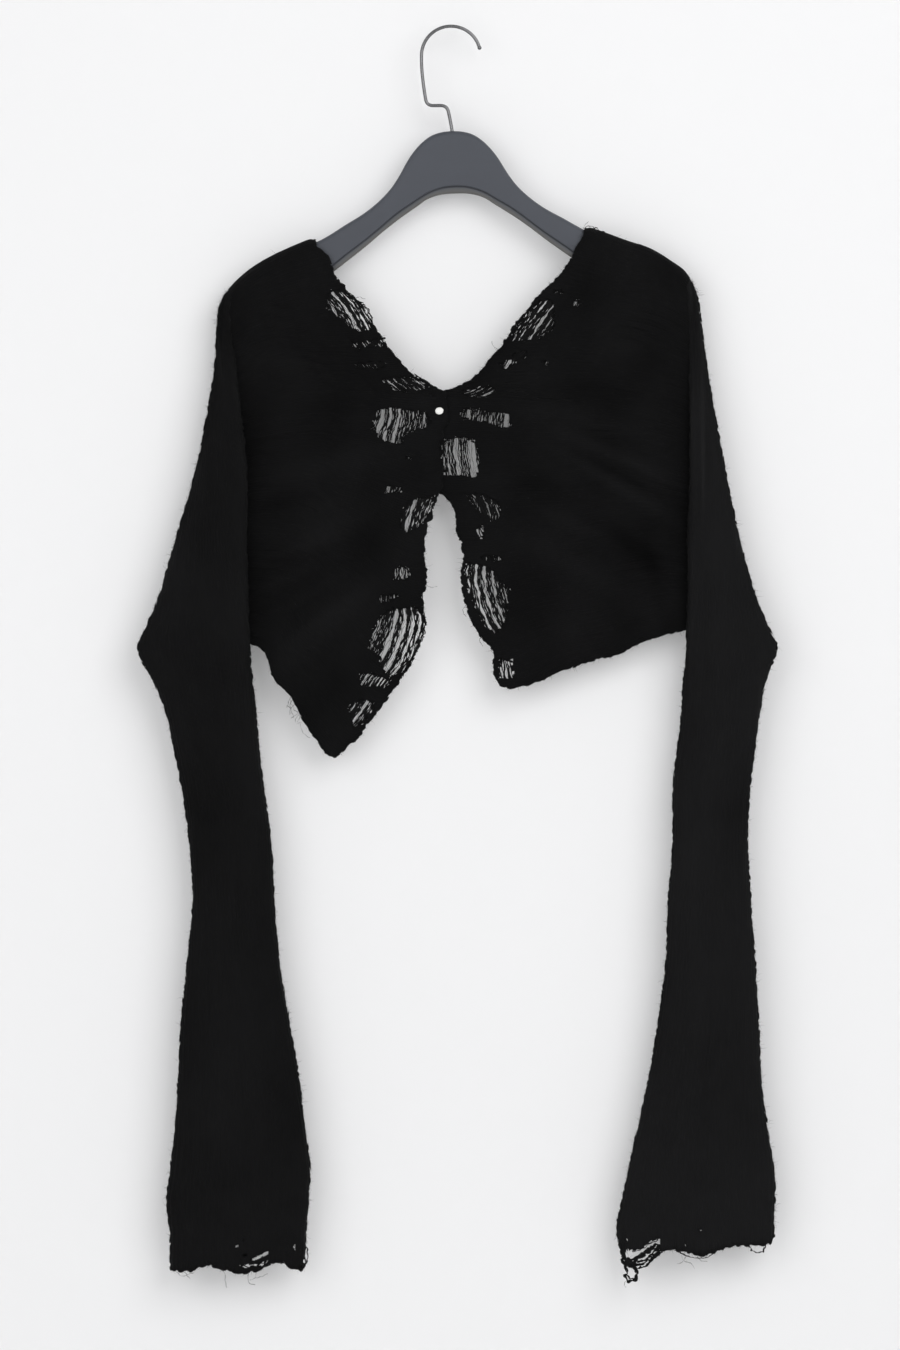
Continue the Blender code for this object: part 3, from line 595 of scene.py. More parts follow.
@dataclass(frozen=True)
class KnitFinish(Finish):
    """Brushed mohair knit: small loops in rows under a matted nap, read from the cloth's own UV."""

    wale: float = 1.9
    course: float = 1.4
    darkest: float = 0.40
    palest: float = 6.80
    relief: float = 0.0006

    def dress(self, tree: Tree, shader: Node) -> None:
        """Add the loops, the nap, the uneven black and the painted light and shade that the mesh
        carries.
        """
        place = tree.add("ShaderNodeUVMap", {"uv_map": "knit"}).outputs[0]
        parts = tree.add("ShaderNodeSeparateXYZ", None, {0: place})
        wave = tree.noise(place, 180.0, 2.0)
        u, v = (Number(tree, parts.outputs[i]) * (2.0 * math.pi / (size * MM))
                for i, size in enumerate((self.wale, self.course)))
        leg = (u + wave * 1.6).apply("SINE").apply("ABSOLUTE")
        loop = (v + leg * 2.4 + wave * 2.2).apply("SINE") * 0.5 + 0.5
        fibre = tree.noise(place, 1.0, 3.0, (2600.0, 700.0, 1.0), 1.2)
        cloud = tree.noise(place, 42.0, 3.0)
        self.bump(tree, shader, leg * 0.35 + loop * 0.45 + fibre * 0.55, self.relief, 0.75)
        # The mesh's number paints highlights on folds and creases, shade in troughs and beside the
        # sleeves, and paler tops, over some random tone.
        shade = (loop * 0.10 + fibre * 0.175 + cloud * 0.175 + tree.attribute("raised") * 0.125
                 + 0.056)
        self.tint(tree, shader, shade, self.times(self.darkest), self.times(self.palest))


@dataclass(frozen=True)
class YarnFinish(Finish):
    """Loose mohair yarn with its fibres, read from the piece's own place."""

    def dress(self, tree: Tree, shader: Node) -> None:
        """Add the fibres of the yarn."""
        fibre = tree.noise(tree.own_place(), 1900.0, 2.0)
        self.bump(tree, shader, fibre, 0.0003, 0.6)
        self.tint(tree, shader, fibre, self.times(0.6), self.times(1.6))


@dataclass(frozen=True)
class MouldedFinish(Finish):
    """Matte moulded plastic with a fine spark-eroded grain and faint handling marks."""

    # Painted reflected light on the lower lip, paler and warmer than the face.
    lip_painted_light: Triple = (0.098, 0.095, 0.088)

    def dress(self, tree: Tree, shader: Node) -> None:
        """Add the grain, cloudy roughness, painted shade in the groove and a paler, warmer painted
        reflected light on the lower lip.
        """
        place = tree.own_place()
        cloud = tree.noise(place, 26.0, 4.0)
        scuff = tree.noise(place, 1.0, 3.0, (60.0, 400.0, 420.0))
        self.bump(tree, shader, tree.noise(place, 2600.0, 1.0), 0.00012, 0.45)
        # The lip attribute is painted light: below zero it paints shade into the groove, above zero
        # it paints the lip paler.
        lip = tree.attribute("lip")
        face = self.tint(tree, shader, cloud * 0.20 + scuff * 0.07 + lip * 0.22 + 0.55,
                         self.times(0.24), self.times(1.35))
        self.tint(tree, shader, lip * 0.8, face, self.lip_painted_light)
        rough = self.roughness - 0.08 + cloud * 0.12 + scuff * 0.05
        tree.tree.links.new(rough.socket, shader.inputs["Roughness"])


@dataclass(frozen=True)
class WireFinish(Finish):
    """Drawn steel wire, with fine lines along it and dull patches."""

    def dress(self, tree: Tree, shader: Node) -> None:
        """Add the drawing lines and the dull patches."""
        place = tree.add("ShaderNodeUVMap", {"uv_map": "wire"}).outputs[0]
        lines = tree.noise(place, 1.0, 2.0, (5200.0, 60.0, 1.0))
        dull = tree.noise(place, 90.0, 3.0)
        self.bump(tree, shader, lines, 0.00008, 0.35)
        self.tint(tree, shader, dull, self.times(0.72), self.times(1.2))
        rough = self.roughness - 0.08 + dull * 0.18
        tree.tree.links.new(rough.socket, shader.inputs["Roughness"])


@dataclass(frozen=True)
class PearlFinish(Finish):
    """Glossy white resin with a faint pearly cloud."""

    cloudy: Triple = (0.70, 0.69, 0.66)
    clear: Triple = (0.84, 0.84, 0.82)

    def dress(self, tree: Tree, shader: Node) -> None:
        """Add the cloud."""
        cloud = tree.noise(tree.own_place(), 420.0, 2.0, twist=1.5)
        self.tint(tree, shader, cloud, self.cloudy, self.clear)


@dataclass(frozen=True)
class WallFinish(Finish):
    """Plain pale backdrop. Its back is clear, so that the object shows from behind."""

    glow: float = 0.16

    def dress(self, tree: Tree, shader: Node) -> None:
        """Add the faint glow and mix in a clear back face."""
        shader.inputs["Emission Color"].default_value = (1.0, 1.0, 1.0, 1.0)
        shader.inputs["Emission Strength"].default_value = self.glow
        clear = tree.add("ShaderNodeBsdfTransparent")
        behind = tree.add("ShaderNodeNewGeometry").outputs["Backfacing"]
        mixed = tree.add("ShaderNodeMixShader", None, {
            0: behind, 1: shader.outputs[0], 2: clear.outputs[0]})
        output = next(n for n in tree.tree.nodes if n.type == "OUTPUT_MATERIAL")
        tree.tree.links.new(mixed.outputs[0], output.inputs["Surface"])


KNIT = KnitFinish("knit", (0.0020, 0.0020, 0.0021), 0.94, specular=0.07, sheen=0.02)
YARN = YarnFinish("yarn", (0.0056, 0.0056, 0.0058), 0.90, specular=0.12)
FUZZ = YarnFinish("fuzz", (0.0068, 0.0066, 0.0068), 0.85, specular=0.12)
GREY_PLASTIC = MouldedFinish("hanger_grey", (0.055, 0.060, 0.073), 0.56, specular=0.35)
STEEL = WireFinish("steel_wire", (0.17, 0.17, 0.175), 0.26, metallic=1.0)
PEARL = PearlFinish("button_white", (0.90, 0.90, 0.87), 0.24, coat=0.4)
WALL_WHITE = WallFinish("backdrop", (0.675, 0.675, 0.682), 1.0, specular=0.0)
FLOOR_PALE = Finish("floor", (0.84, 0.84, 0.84), 0.9, specular=0.1)


# ---- Meshes

def new_object(name: str, mesh: Mesh, material: bpy.types.Material | None = None) -> Piece:
    """Put a mesh in the scene under a name."""
    if material is not None:
        mesh.materials.append(material)
    made = bpy.data.objects.new(name, mesh)
    bpy.context.scene.collection.objects.link(made)
    return made


def mesh_from(name: str, points: Array | list, faces: Array | list) -> Mesh:
    """Return a smooth mesh of points in metres and faces."""
    mesh = bpy.data.meshes.new(name)
    mesh.from_pydata(np.asarray(points).tolist(), [], faces.tolist()
                     if isinstance(faces, np.ndarray) else faces)
    mesh.shade_smooth()
    mesh.update()
    return mesh


def lay_uv(mesh: Mesh, name: str, places: Array) -> None:
    """Give a mesh a UV map from a place for each point, in metres."""
    layer = mesh.uv_layers.new(name=name)
    corners = np.empty(len(mesh.loops), dtype=np.int64)
    mesh.loops.foreach_get("vertex_index", corners)
    layer.data.foreach_set("uv", places[corners].astype(np.float32).ravel())


def repair(mesh: Mesh, weld: float = 0.0) -> None:
    """Merge the points that are closer than weld, or turn the faces outwards if it is 0."""
    shape = bmesh.new()
    shape.from_mesh(mesh)
    if weld:
        bmesh.ops.remove_doubles(shape, verts=shape.verts, dist=weld)
    else:
        bmesh.ops.recalc_face_normals(shape, faces=shape.faces)
    shape.to_mesh(mesh)
    shape.free()


def flatten(item: Piece) -> None:
    """Write an object's modifiers into its mesh and remove them."""
    bpy.context.view_layer.update()
    seen = item.evaluated_get(bpy.context.evaluated_depsgraph_get())
    mesh = bpy.data.meshes.new_from_object(seen)
    item.modifiers.clear()
    old = item.data
    item.data = mesh
    mesh.name = item.name
    bpy.data.meshes.remove(old)


def grow(target: Piece, tree: bpy.types.NodeTree, inputs: dict[str, Any]) -> None:
    """Run a geometry tree on an object and keep the result as its mesh.

    Args:
        target: the object.
        tree: the geometry tree.
        inputs: values of the tree's named inputs.
    """
    made = target.modifiers.new(tree.name, "NODES")
    made.node_group = tree
    for socket in tree.interface.items_tree:
        if socket.item_type == "SOCKET" and socket.in_out == "INPUT" and socket.name in inputs:
            made[socket.identifier] = inputs[socket.name]
    flatten(target)


def keep_vectors(mesh: Mesh, name: str, values: Array) -> None:
    """Write a vector for each point to a named attribute."""
    layer = mesh.attributes.new(name, "FLOAT_VECTOR", "POINT")
    layer.data.foreach_set("vector", np.ascontiguousarray(values, dtype=np.float32).ravel())


def keep_numbers(mesh: Mesh, name: str, values: Array) -> None:
    """Write a number for each point to a named attribute."""
    layer = mesh.attributes.new(name, "FLOAT", "POINT")
    layer.data.foreach_set("value", np.ascontiguousarray(values, dtype=np.float32).ravel())


# ---- Geometry trees

def geometry_tree(name: str, inputs: Sequence[tuple[str, str]]) -> tuple[Tree, Node, Node]:
    """Start a geometry tree.

    Args:
        name: the tree's name.
        inputs: names and socket types of the inputs that follow the geometry.

    Returns:
        The tree, its input node and its output node.
    """
    group = bpy.data.node_groups.new(name, "GeometryNodeTree")
    group.interface.new_socket("Geometry", in_out="INPUT", socket_type="NodeSocketGeometry")
    for label, kind in inputs:
        group.interface.new_socket(label, in_out="INPUT", socket_type=kind)
    group.interface.new_socket("Geometry", in_out="OUTPUT", socket_type="NodeSocketGeometry")
    tree = Tree(group)
    return tree, tree.add("NodeGroupInput"), tree.add("NodeGroupOutput")


def close_tree(tree: Tree, start: Node, end: Node,
               made: Socket) -> bpy.types.NodeTree:
    """Make a tree's result real, in the material that its input names, and return the tree."""
    real = tree.add("GeometryNodeRealizeInstances", None, {0: made})
    dressed = tree.add("GeometryNodeSetMaterial", None, {
        "Geometry": real.outputs[0], "Material": start.outputs["Material"]})
    tree.tree.links.new(dressed.outputs[0], end.inputs[0])
    return tree.tree


def fuzz_tree() -> bpy.types.NodeTree:
    """Return the tree that scatters hairs over a surface.

    The surface's "nap" attribute scales how many hairs grow, and its "comb" attribute turns them.
    """
    tree, start, end = geometry_tree("fuzz", [
        ("Hair", "NodeSocketObject"), ("Density", "NodeSocketFloat"),
        ("Shortest", "NodeSocketFloat"), ("Longest", "NodeSocketFloat"),
        ("Wildness", "NodeSocketFloat"), ("Tufts", "NodeSocketFloat"), ("Seed", "NodeSocketInt"),
        ("Material", "NodeSocketMaterial")])
    asked = start.outputs
    nap, comb = (tree.add("GeometryNodeInputNamedAttribute", {"data_type": kind},
                          {"Name": name}).outputs["Attribute"]
                 for name, kind in (("nap", "FLOAT"), ("comb", "FLOAT_VECTOR")))
    noise = tree.add("ShaderNodeTexNoise", None, {"Scale": asked["Tufts"], "Detail": 1.0})
    tuft = tree.number("ShaderNodeMapRange", 0, None, {
        "Value": noise.outputs[0], "From Min": 0.36, "From Max": 0.62, "To Min": 0.12,
        "To Max": 1.9})
    scatter = tree.add("GeometryNodeDistributePointsOnFaces", {"distribute_method": "RANDOM"}, {
        "Mesh": asked["Geometry"], "Seed": asked["Seed"],
        "Density": Number(tree, nap) * Number(tree, asked["Density"]) * tuft})
    stray = tree.add("FunctionNodeRandomValue", {"data_type": "FLOAT_VECTOR"}, {
        0: (-1.0, -1.0, -1.0), 1: (1.0, 1.0, 1.0), "Seed": asked["Seed"]})
    wild = tree.add("ShaderNodeVectorMath", {"operation": "SCALE"}, {
        0: stray.outputs[0], "Scale": asked["Wildness"]})
    lean = tree.add("ShaderNodeVectorMath", {"operation": "ADD"}, {
        0: scatter.outputs["Normal"], 1: comb})
    aim = tree.add("ShaderNodeVectorMath", {"operation": "ADD"}, {
        0: lean.outputs[0], 1: wild.outputs[0]})
    turn = tree.add("FunctionNodeAlignRotationToVector", {"axis": "Z"}, {
        "Vector": aim.outputs[0]})
    roll, tall = (tree.add("FunctionNodeRandomValue", {"data_type": "FLOAT"}, {
        2: 0.0, 3: most, "Seed": seed}).outputs[1]
        for most, seed in ((2.0 * math.pi, asked["Seed"]), (1.0, 7)))
    spin = tree.add("ShaderNodeCombineXYZ", None, {2: roll})
    rolled = tree.add("FunctionNodeRotateRotation", {"rotation_space": "LOCAL"}, {
        0: turn.outputs[0],
        1: tree.add("FunctionNodeEulerToRotation", None, {0: spin.outputs[0]}).outputs[0]})
    size = tree.add("ShaderNodeMapRange", None, {
        "Value": Number(tree, tall) ** 1.4, "To Min": asked["Shortest"],
        "To Max": asked["Longest"]})
    scale = tree.add("ShaderNodeCombineXYZ", None, {0: 1.0, 1: 1.0, 2: size.outputs[0]})
    hair = tree.add("GeometryNodeObjectInfo", None, {0: asked["Hair"]})
    planted = tree.add("GeometryNodeInstanceOnPoints", None, {
        "Points": scatter.outputs["Points"], "Instance": hair.outputs["Geometry"],
        "Rotation": rolled.outputs[0], "Scale": scale.outputs[0]})
    return close_tree(tree, start, end, planted.outputs[0])


def yarn_tree() -> bpy.types.NodeTree:
    """Return the tree that turns lines into round yarns, as thick as their "thick" attribute."""
    tree, start, end = geometry_tree("yarn", [
        ("Sides", "NodeSocketInt"), ("Material", "NodeSocketMaterial")])
    curve = tree.add("GeometryNodeMeshToCurve", None, {0: start.outputs["Geometry"]})
    thick = tree.add("GeometryNodeInputNamedAttribute", {"data_type": "FLOAT"}, {"Name": "thick"})
    ring = tree.add("GeometryNodeCurvePrimitiveCircle", None, {
        "Resolution": start.outputs["Sides"], "Radius": 1.0})
    tube = tree.add("GeometryNodeCurveToMesh", None, {
        "Curve": curve.outputs[0], "Profile Curve": ring.outputs[0],
        "Scale": thick.outputs["Attribute"], "Fill Caps": True})
    soft = tree.add("GeometryNodeSetShadeSmooth", None, {0: tube.outputs[0]})
    return close_tree(tree, start, end, soft.outputs[0])


@dataclass
class Workshop:
    """Materials, geometry trees and the hairs that the cloth pieces share."""

    knit: bpy.types.Material = field(default_factory=KNIT.make)
    yarn: bpy.types.Material = field(default_factory=YARN.make)
    fuzz: bpy.types.Material = field(default_factory=FUZZ.make)
    fuzz_nodes: bpy.types.NodeTree = field(default_factory=fuzz_tree)
    yarn_nodes: bpy.types.NodeTree = field(default_factory=yarn_tree)
    short_width: float = 0.085
    long_width: float = 0.095
    short_reach: Pair = (0.9, 3.8)
    long_reach: Pair = (2.0, 8.0)
    yarn_reach: Pair = (0.8, 2.8)
    wildness: float = 1.3
    yarn_wildness: float = 1.2
    tuft_scale: float = 300.0
    yarn_sides: int = 4

    def __post_init__(self) -> None:
        """Make the two hairs that are scattered, each one unit long."""
        foot, wide_foot = ([(wide * MM * math.cos(t), wide * MM * math.sin(t), 0.0)
                            for t in (0.0, 2.094, 4.189)]
                           for wide in (self.short_width, self.long_width))
        self.short_hair = new_object("short_hair", mesh_from(
            "short_hair", foot + [(0.0, 0.0, 1.0)], [(2, 1, 0), (0, 1, 3), (1, 2, 3), (2, 0, 3)]),
            self.fuzz)
        knee = [(0.0007 + 0.8 * x, 0.8 * y, 0.55) for x, y, _ in wide_foot]
        self.long_hair = new_object("long_hair", mesh_from(
            "long_hair", wide_foot + knee + [(0.0026, 0.0, 1.0)], [
                (2, 1, 0), (0, 1, 4, 3), (1, 2, 5, 4), (2, 0, 3, 5), (3, 4, 6), (4, 5, 6),
                (5, 3, 6)]), self.fuzz)

    def grow(self, cloth: Piece, ending: str, hair: Piece, density: float,
             reach: Pair, seed: int, wildness: float) -> Piece:
        """Grow one kind of hair on a piece.

        Args:
            cloth: the piece, with its "nap" and "comb" attributes.
            ending: the last part of the new piece's name.
            hair: the hair that is scattered.
            density: hairs for each square metre where the nap is 1.
            reach: the shortest and the longest hair, in millimetres.
            seed: the random seed.
            wildness: how far the hairs stray.

        Returns:
            The hairs, as one piece.
        """
        made = new_object(cloth.name + ending, cloth.data.copy())
        grow(made, self.fuzz_nodes, {
            "Hair": hair, "Density": density, "Shortest": reach[0] * MM,
            "Longest": reach[1] * MM, "Wildness": wildness, "Tufts": self.tuft_scale,
            "Seed": seed, "Material": self.fuzz})
        return made

    def grow_fuzz(self, cloth: Piece, short: float, long: float, seed: int) -> list[Piece]:
        """Grow the short nap and the stray hairs on a piece.

        Args:
            cloth: the piece, with its "nap" and "comb" attributes.
            short: short hairs for each square metre where the nap is 1.
            long: stray hairs for each square metre where the nap is 1.
            seed: the random seed.

        Returns:
            The nap and the strays, as two pieces.
        """
        return [self.grow(cloth, "_nap", self.short_hair, short, self.short_reach, seed,
                          self.wildness),
                self.grow(cloth, "_strays", self.long_hair, long, self.long_reach, seed + 1,
                          self.wildness)]

    def spin(self, name: str, strands: Strands, nap: float, seed: int) -> list[Piece]:
        """Make yarns along lines, and their nap.

        Args:
            name: the yarns' name.
            strands: for each yarn its points in metres and its radii in metres.
            nap: hairs for each square metre of yarn.
            seed: the random seed of the nap.

        Returns:
            The yarns and their nap, as two pieces.
        """
        points = np.concatenate([line for line, _ in strands])
        edges, start = [], 0
        for line, _ in strands:
            edges += [(start + i, start + i + 1) for i in range(len(line) - 1)]
            start += len(line)
        mesh = bpy.data.meshes.new(name)
        mesh.from_pydata(points.tolist(), edges, [])
        keep_numbers(mesh, "thick", np.concatenate([radii for _, radii in strands]))
        made = new_object(name, mesh)
        grow(made, self.yarn_nodes, {"Sides": self.yarn_sides, "Material": self.yarn})
        keep_numbers(made.data, "nap", np.ones(len(made.data.vertices)))
        keep_vectors(made.data, "comb", np.zeros((len(made.data.vertices), 3)))
        return [made, self.grow(made, "_nap", self.short_hair, nap, self.yarn_reach, seed,
                                self.yarn_wildness)]

    def clear(self) -> None:
        """Remove the hairs that were scattered."""
        for hair in (self.short_hair, self.long_hair):
            bpy.data.objects.remove(hair, do_unlink=True)


def loose_strand(places: Sequence[Pair], thick: float, y: float, seed: int) -> tuple[Array, Array]:
    """Return the points and radii of a loose strand, in metres.

    Args:
        places: where it runs, in the photograph's places.
        thick: its radius in millimetres.
        y: its depth in millimetres.
        seed: the random seed of its wobble.
    """
    line = Line([tuple(place) for place in from_photo(places)])
    steps = max(int(line.length), 6)
    flat = line.at(np.linspace(0.0, 1.0, steps))
    run, wave = np.linspace(0.0, line.length, steps), Waves(seed, 5.0, 5)
    sway = 0.25 + 0.35 * thick
    points = np.stack([flat[:, 0] + sway * wave.at(run, 0.0), y + 0.6 * wave.at(run, 7.0),
                       sway * wave.at(run, 11.0) - flat[:, 1]], axis=-1)
    radii = thick * (1.0 + 0.45 * wave.at(run, 3.0))
    return points * MM, np.clip(radii, 0.5 * thick, 1.6 * thick) * MM


def tufts(line: Array, seed: int, pitch: float = 4.8) -> Strands:
    """Return short matted tufts along a line, in metres, which make its outline knobbly.

    Args:
        line: places in millimetres, in order.
        seed: the random seed.
        pitch: the mean distance from one tuft to the next, in millimetres.
    """
    draw = np.random.default_rng(seed)
    run = np.concatenate(([0.0], np.cumsum(np.linalg.norm(np.diff(line, axis=0), axis=1))))
    made = []
    for start in np.arange(0.0, run[-1] - pitch, pitch):
        start = start + draw.uniform(0.0, 0.8 * pitch)
        span = np.linspace(start, start + draw.uniform(0.9, 2.0) * pitch, 6)
        base = np.stack([np.interp(span, run, line[:, i]) for i in range(3)], axis=-1)
        base += draw.uniform(-0.45, 0.45, 3) + np.linspace(-1.0, 1.0, 6)[:, None] * draw.uniform(
            -0.50, 0.50, 3)
        radii = draw.uniform(0.45, 1.05) * np.array([0.15, 0.75, 1.0, 0.9, 0.6, 0.12])
        made.append((base * MM, radii * MM))
    return made


def ride(piece: Piece, slot: str, *nodes: str) -> Piece:
    """Let a piece ride on the body and hide the CAD nodes it stands for."""
    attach(piece, "root")
    if nodes:
        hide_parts(*nodes)
    return piece


def report(piece: Piece) -> None:
    """Log a piece's name and its number of triangles."""
    piece.data.calc_loop_triangles()
    log.info("%s: %d triangles", piece.name, len(piece.data.loop_triangles))


def grid_faces(rows: int, columns: int, keep: Array | None = None, closed: bool = False) -> Array:
    """Return the quads of a grid of points.

    Args:
        rows: number of rows.
        columns: number of columns.
        keep: which cells stay, or None for all.
        closed: whether the last column joins the first.

    Returns:
        An array of vertex numbers, four for each face.
    """
    numbers = np.arange(rows * columns).reshape(rows, columns)
    right = np.roll(numbers, -1, axis=1) if closed else numbers[:, 1:]
    left = numbers if closed else numbers[:, :-1]
    quads = np.stack([left[:-1], right[:-1], right[1:], left[1:]], axis=-1)
    return quads[keep] if keep is not None else quads.reshape(-1, 4)


def grid_normals(points: Array) -> Array:
    """Return the unit normals of a grid of points."""
    normals = np.cross(np.gradient(points, axis=1), np.gradient(points, axis=0))
    return normals / np.maximum(np.linalg.norm(normals, axis=2, keepdims=True), 1e-12)


def beside_gap(keep: Array) -> Array:
    """Return which points of a grid touch a cell that is left out."""
    whole = np.pad(keep, 1, constant_values=True)
    return ~(whole[1:, 1:] & whole[:-1, 1:] & whole[1:, :-1] & whole[:-1, :-1])


def cell_middles(points: Array) -> Array:
    """Return the middle of each cell of a grid of points."""
    return 0.25 * (points[:-1, :-1] + points[1:, :-1] + points[:-1, 1:] + points[1:, 1:])


def cut_out(outlines: Sequence[Sequence[Pair]], x: Array, down: Array) -> Array:
    """Return which places lie outside all the outlines, given in the photograph's places."""
    keep = np.ones(x.shape, dtype=bool)
    for outline in outlines:
        keep &= ~inside(from_photo(outline), x, down)
    return keep


def tube_faces(rows: int, sides: int) -> list[list[int]]:
    """Return the faces of a tube of points, closed at both ends."""
    last = rows * sides
    return grid_faces(rows, sides, closed=True).tolist() + [
        list(range(sides)), list(reversed(range(last - sides, last)))]


def cloth_mesh(name: str, points: Array, uv: Array, nap: Array, comb: Array, raised: Array,
               quads: Array) -> Mesh:
    """Return one face of a cloth as a mesh, with its UV map and its nap.

    Args:
        name: the mesh's name.
        points: grid of places of the outer face, in metres.
        uv: grid of places on the flat cloth, in metres.
        nap: grid of how hairy the cloth is.
        comb: grid of vectors that the hairs follow.
        raised: grid of painted light and shade, with some random tone, that pales or darkens the
            knit.
        quads: faces, turned so that their normals point outwards.

    Returns:
        The mesh, without the points that no face uses.
    """
    flat = points.reshape(-1, 3)
    used = np.unique(quads)
    lookup = np.full(len(flat), -1)
    lookup[used] = np.arange(len(used))
    mesh = mesh_from(name, flat[used], lookup[quads])
    keep_numbers(mesh, "nap", nap.ravel()[used])
    keep_vectors(mesh, "comb", comb.reshape(-1, 3)[used])
    keep_numbers(mesh, "raised", np.broadcast_to(raised, nap.shape).ravel()[used])
    lay_uv(mesh, "knit", uv.reshape(-1, 2)[used])
    return mesh


def thicken(cloth: Piece, thick: float) -> None:
    """Give a cloth piece its thickness, inwards from its outer face, with a bare inner face."""
    wall = cloth.modifiers.new("wall", "SOLIDIFY")
    wall.thickness = thick * MM
    wall.offset = -1.0
    wall.use_even_offset = False
    wall.use_rim = True
    flatten(cloth)
    layer = cloth.data.attributes["nap"]
    nap = np.empty(len(cloth.data.vertices), dtype=np.float32)
    layer.data.foreach_get("value", nap)
    nap[len(nap) // 2:] = 0.0
    layer.data.foreach_set("value", nap)


# ---- Cloth pieces


@dataclass
class Cloth:
    """One cut piece of the cardigan, with the yarns and the fuzz that go with it."""

    side: Side
    shop: Workshop

    def waves(self, number: int, reach: float, count: int = 9) -> Waves:
        """Return one of the piece's own random fields."""
        return Waves(self.seed + number, reach, count)

    def matted(self, lines: Sequence[Array]) -> Strands:
        """Return the matted tufts along the piece's outlines."""
        return [tuft for i, line in enumerate(lines) for tuft in tufts(line, self.seed + 60 + i)]

    def dress(self, rests_on: Sequence[Piece]) -> None:
        ride(self.cloth, "knit", *self.nodes)
        for piece in self.pieces:
            ride(piece, "knit")
        for piece in (self.cloth, *self.pieces):
            report(piece)


# ---- Panels

@dataclass
class Panel(Cloth):
    """One front or back of the cardigan, knitted sideways, with its ladders and loose yarns."""

    is_front: bool
    rib_pitch: float = 3.3
    rib_height: float = 0.26
    rows_per_rib: float = 3.6
    fine_columns: int = 60
    coarse_columns: int = 19
    fine_from: float = 0.46
    arc_rows: int = 14
    lump_height: float = 0.16
    broad_height: float = 0.55
    ribs_per_broad: float = 3.1
    edge_roll: float = 0.7
    crowding: float = 0.56
    gap_share: float = 0.86
    gap_bare: float = 0.55
    fine_yarn: float = 0.20
    yarn_step: float = 1.9
    nap_density: float = 745000.0
    stray_density: float = 60000.0
    yarn_nap_density: float = 150000.0
    wide: float = 200.0

    def __post_init__(self) -> None:
        """Lay out the lines that bound the panel."""
        self.name = ("front_" if self.is_front else "back_") + self.side.value
        self.nodes = [self.name] + ([] if self.is_front else ["shoulder_" + self.side.value])
        self.facing = -1.0 if self.is_front else 1.0
        self.folds = FRONT_FOLDS[self.side] if self.is_front else BACK_FOLDS
        edge = (FRONT_EDGES if self.is_front else BACK_EDGES)[self.side]
        hem = (FRONT_HEMS if self.is_front else BACK_HEMS)[self.side]
        shoulder = [(out, down + OVER_ARM) for out, down in reversed(SHOULDERS[self.side])]
        armhole = [shoulder[0]]
        for down, outer, fold in SLEEVE_ROWS[self.side]:
            if shoulder[0][1] + 12.0 < down < hem[0][1] - 8.0:
                inset = (min(SEAM_A_INSET, 0.55 * (outer - fold)) if self.is_front
                         else min(SEAM_B_INSET, 0.5 * (outer - fold)))
                armhole.append((outer - inset - SEAM, down))
        low_edge = [shoulder[-1]] + [p for p in edge if p[1] > shoulder[-1][1] + 2.0]
        self.armhole, self.shoulder = Line(armhole + [hem[0]]), Line(shoulder)
        self.hem, self.edge = Line(hem), Line(low_edge)
        self.seed = 11 + 7 * self.is_front + 3 * (self.side is Side.RIGHT)
        if not self.is_front:
            self.fine_columns, self.coarse_columns, self.rows_per_rib = 16, 26, 3.2
            self.nap_density, self.stray_density = 200000.0, 18000.0

    def patch(self, across: Array, along: Array) -> tuple[Array, Array]:
        """Return out and down on the patch between the four lines.

        Args:
            across: shares from the armhole to the front edge.
            along: shares from the shoulder to the hem.

        Returns:
            Grids of out and down, a row for each share along.
        """
        u, v = across[None, :, None], along[:, None, None]
        top, low = self.shoulder.at(across)[None], self.hem.at(across)[None]
        outer, inner = self.armhole.at(along)[:, None], self.edge.at(along)[:, None]
        ends = [line.at(np.array([0.0, 1.0])) for line in (self.armhole, self.edge)]
        corners = ((1 - u) * ((1 - v) * ends[0][0] + v * ends[0][1])
                   + u * ((1 - v) * ends[1][0] + v * ends[1][1]))
        grid = (1 - v) * top + v * low + (1 - u) * outer + u * inner - corners
        return grid[..., 0], grid[..., 1]

    def face(self, out: Array, down: Array) -> Array:
        """Return Y of the outer face, in millimetres."""
        lift = sum(fold.lift(out, down) for fold in self.folds)
        if self.is_front:
            lift = lift * ease(out, 30.0, 60.0) * ease(
                row_at(self.side, down)[1] - out, 3.0, 26.0)
            drift = 0.45 * self.waves(0, 70.0).at(out, down) * ease(out, 20.0, 60.0)
            drift = drift * ease(210.0 - out, 0.0, 40.0)
            lap = LAP * ease(-out, -LAP_FROM, -LAP_TO) if self.side is Side.RIGHT else 0.0
            return -OVER_ARM - lift - drift * 0.6 + lap
        outer, fold_line = row_at(self.side, down)
        seam = outer - np.minimum(SEAM_B_INSET, 0.5 * (outer - fold_line))
        corner = OVER_ARM + (UNDERARM_BACK - OVER_ARM) * ease(
            down, UNDERARM_DOWN - 130.0, UNDERARM_DOWN - 18.0)
        plain = OVER_ARM + (corner - OVER_ARM) * (1.0 - ease(seam - out, 0.0, 75.0))
        return plain + lift * ease(seam - out, 10.0, 60.0)

    def base(self, across: Array, along: Array) -> Array:
        """Return the outer face below the shoulder, in millimetres, as X, Y and down."""
        out, down = self.patch(across, along)
        return np.stack([self.side.sign * out, self.face(out, down), down], axis=-1)

    def over_arm(self, across: Array, turns: Array) -> Array:
        """Return the rows that roll over the hanger's arm and droop at the neck's corner."""
        top, level = self.shoulder.at(across), np.cos(turns)[:, None]
        corner = np.exp(-((1.0 - across) * self.shoulder.length / 4.5) ** 2)
        return np.stack(np.broadcast_arrays(
            self.side.sign * top[:, 0] + self.side.sign * 1.2 * corner * level ** 2,
            self.facing * OVER_ARM * np.sin(turns)[:, None],
            top[:, 1] - OVER_ARM * level + 3.4 * corner * level), axis=-1)

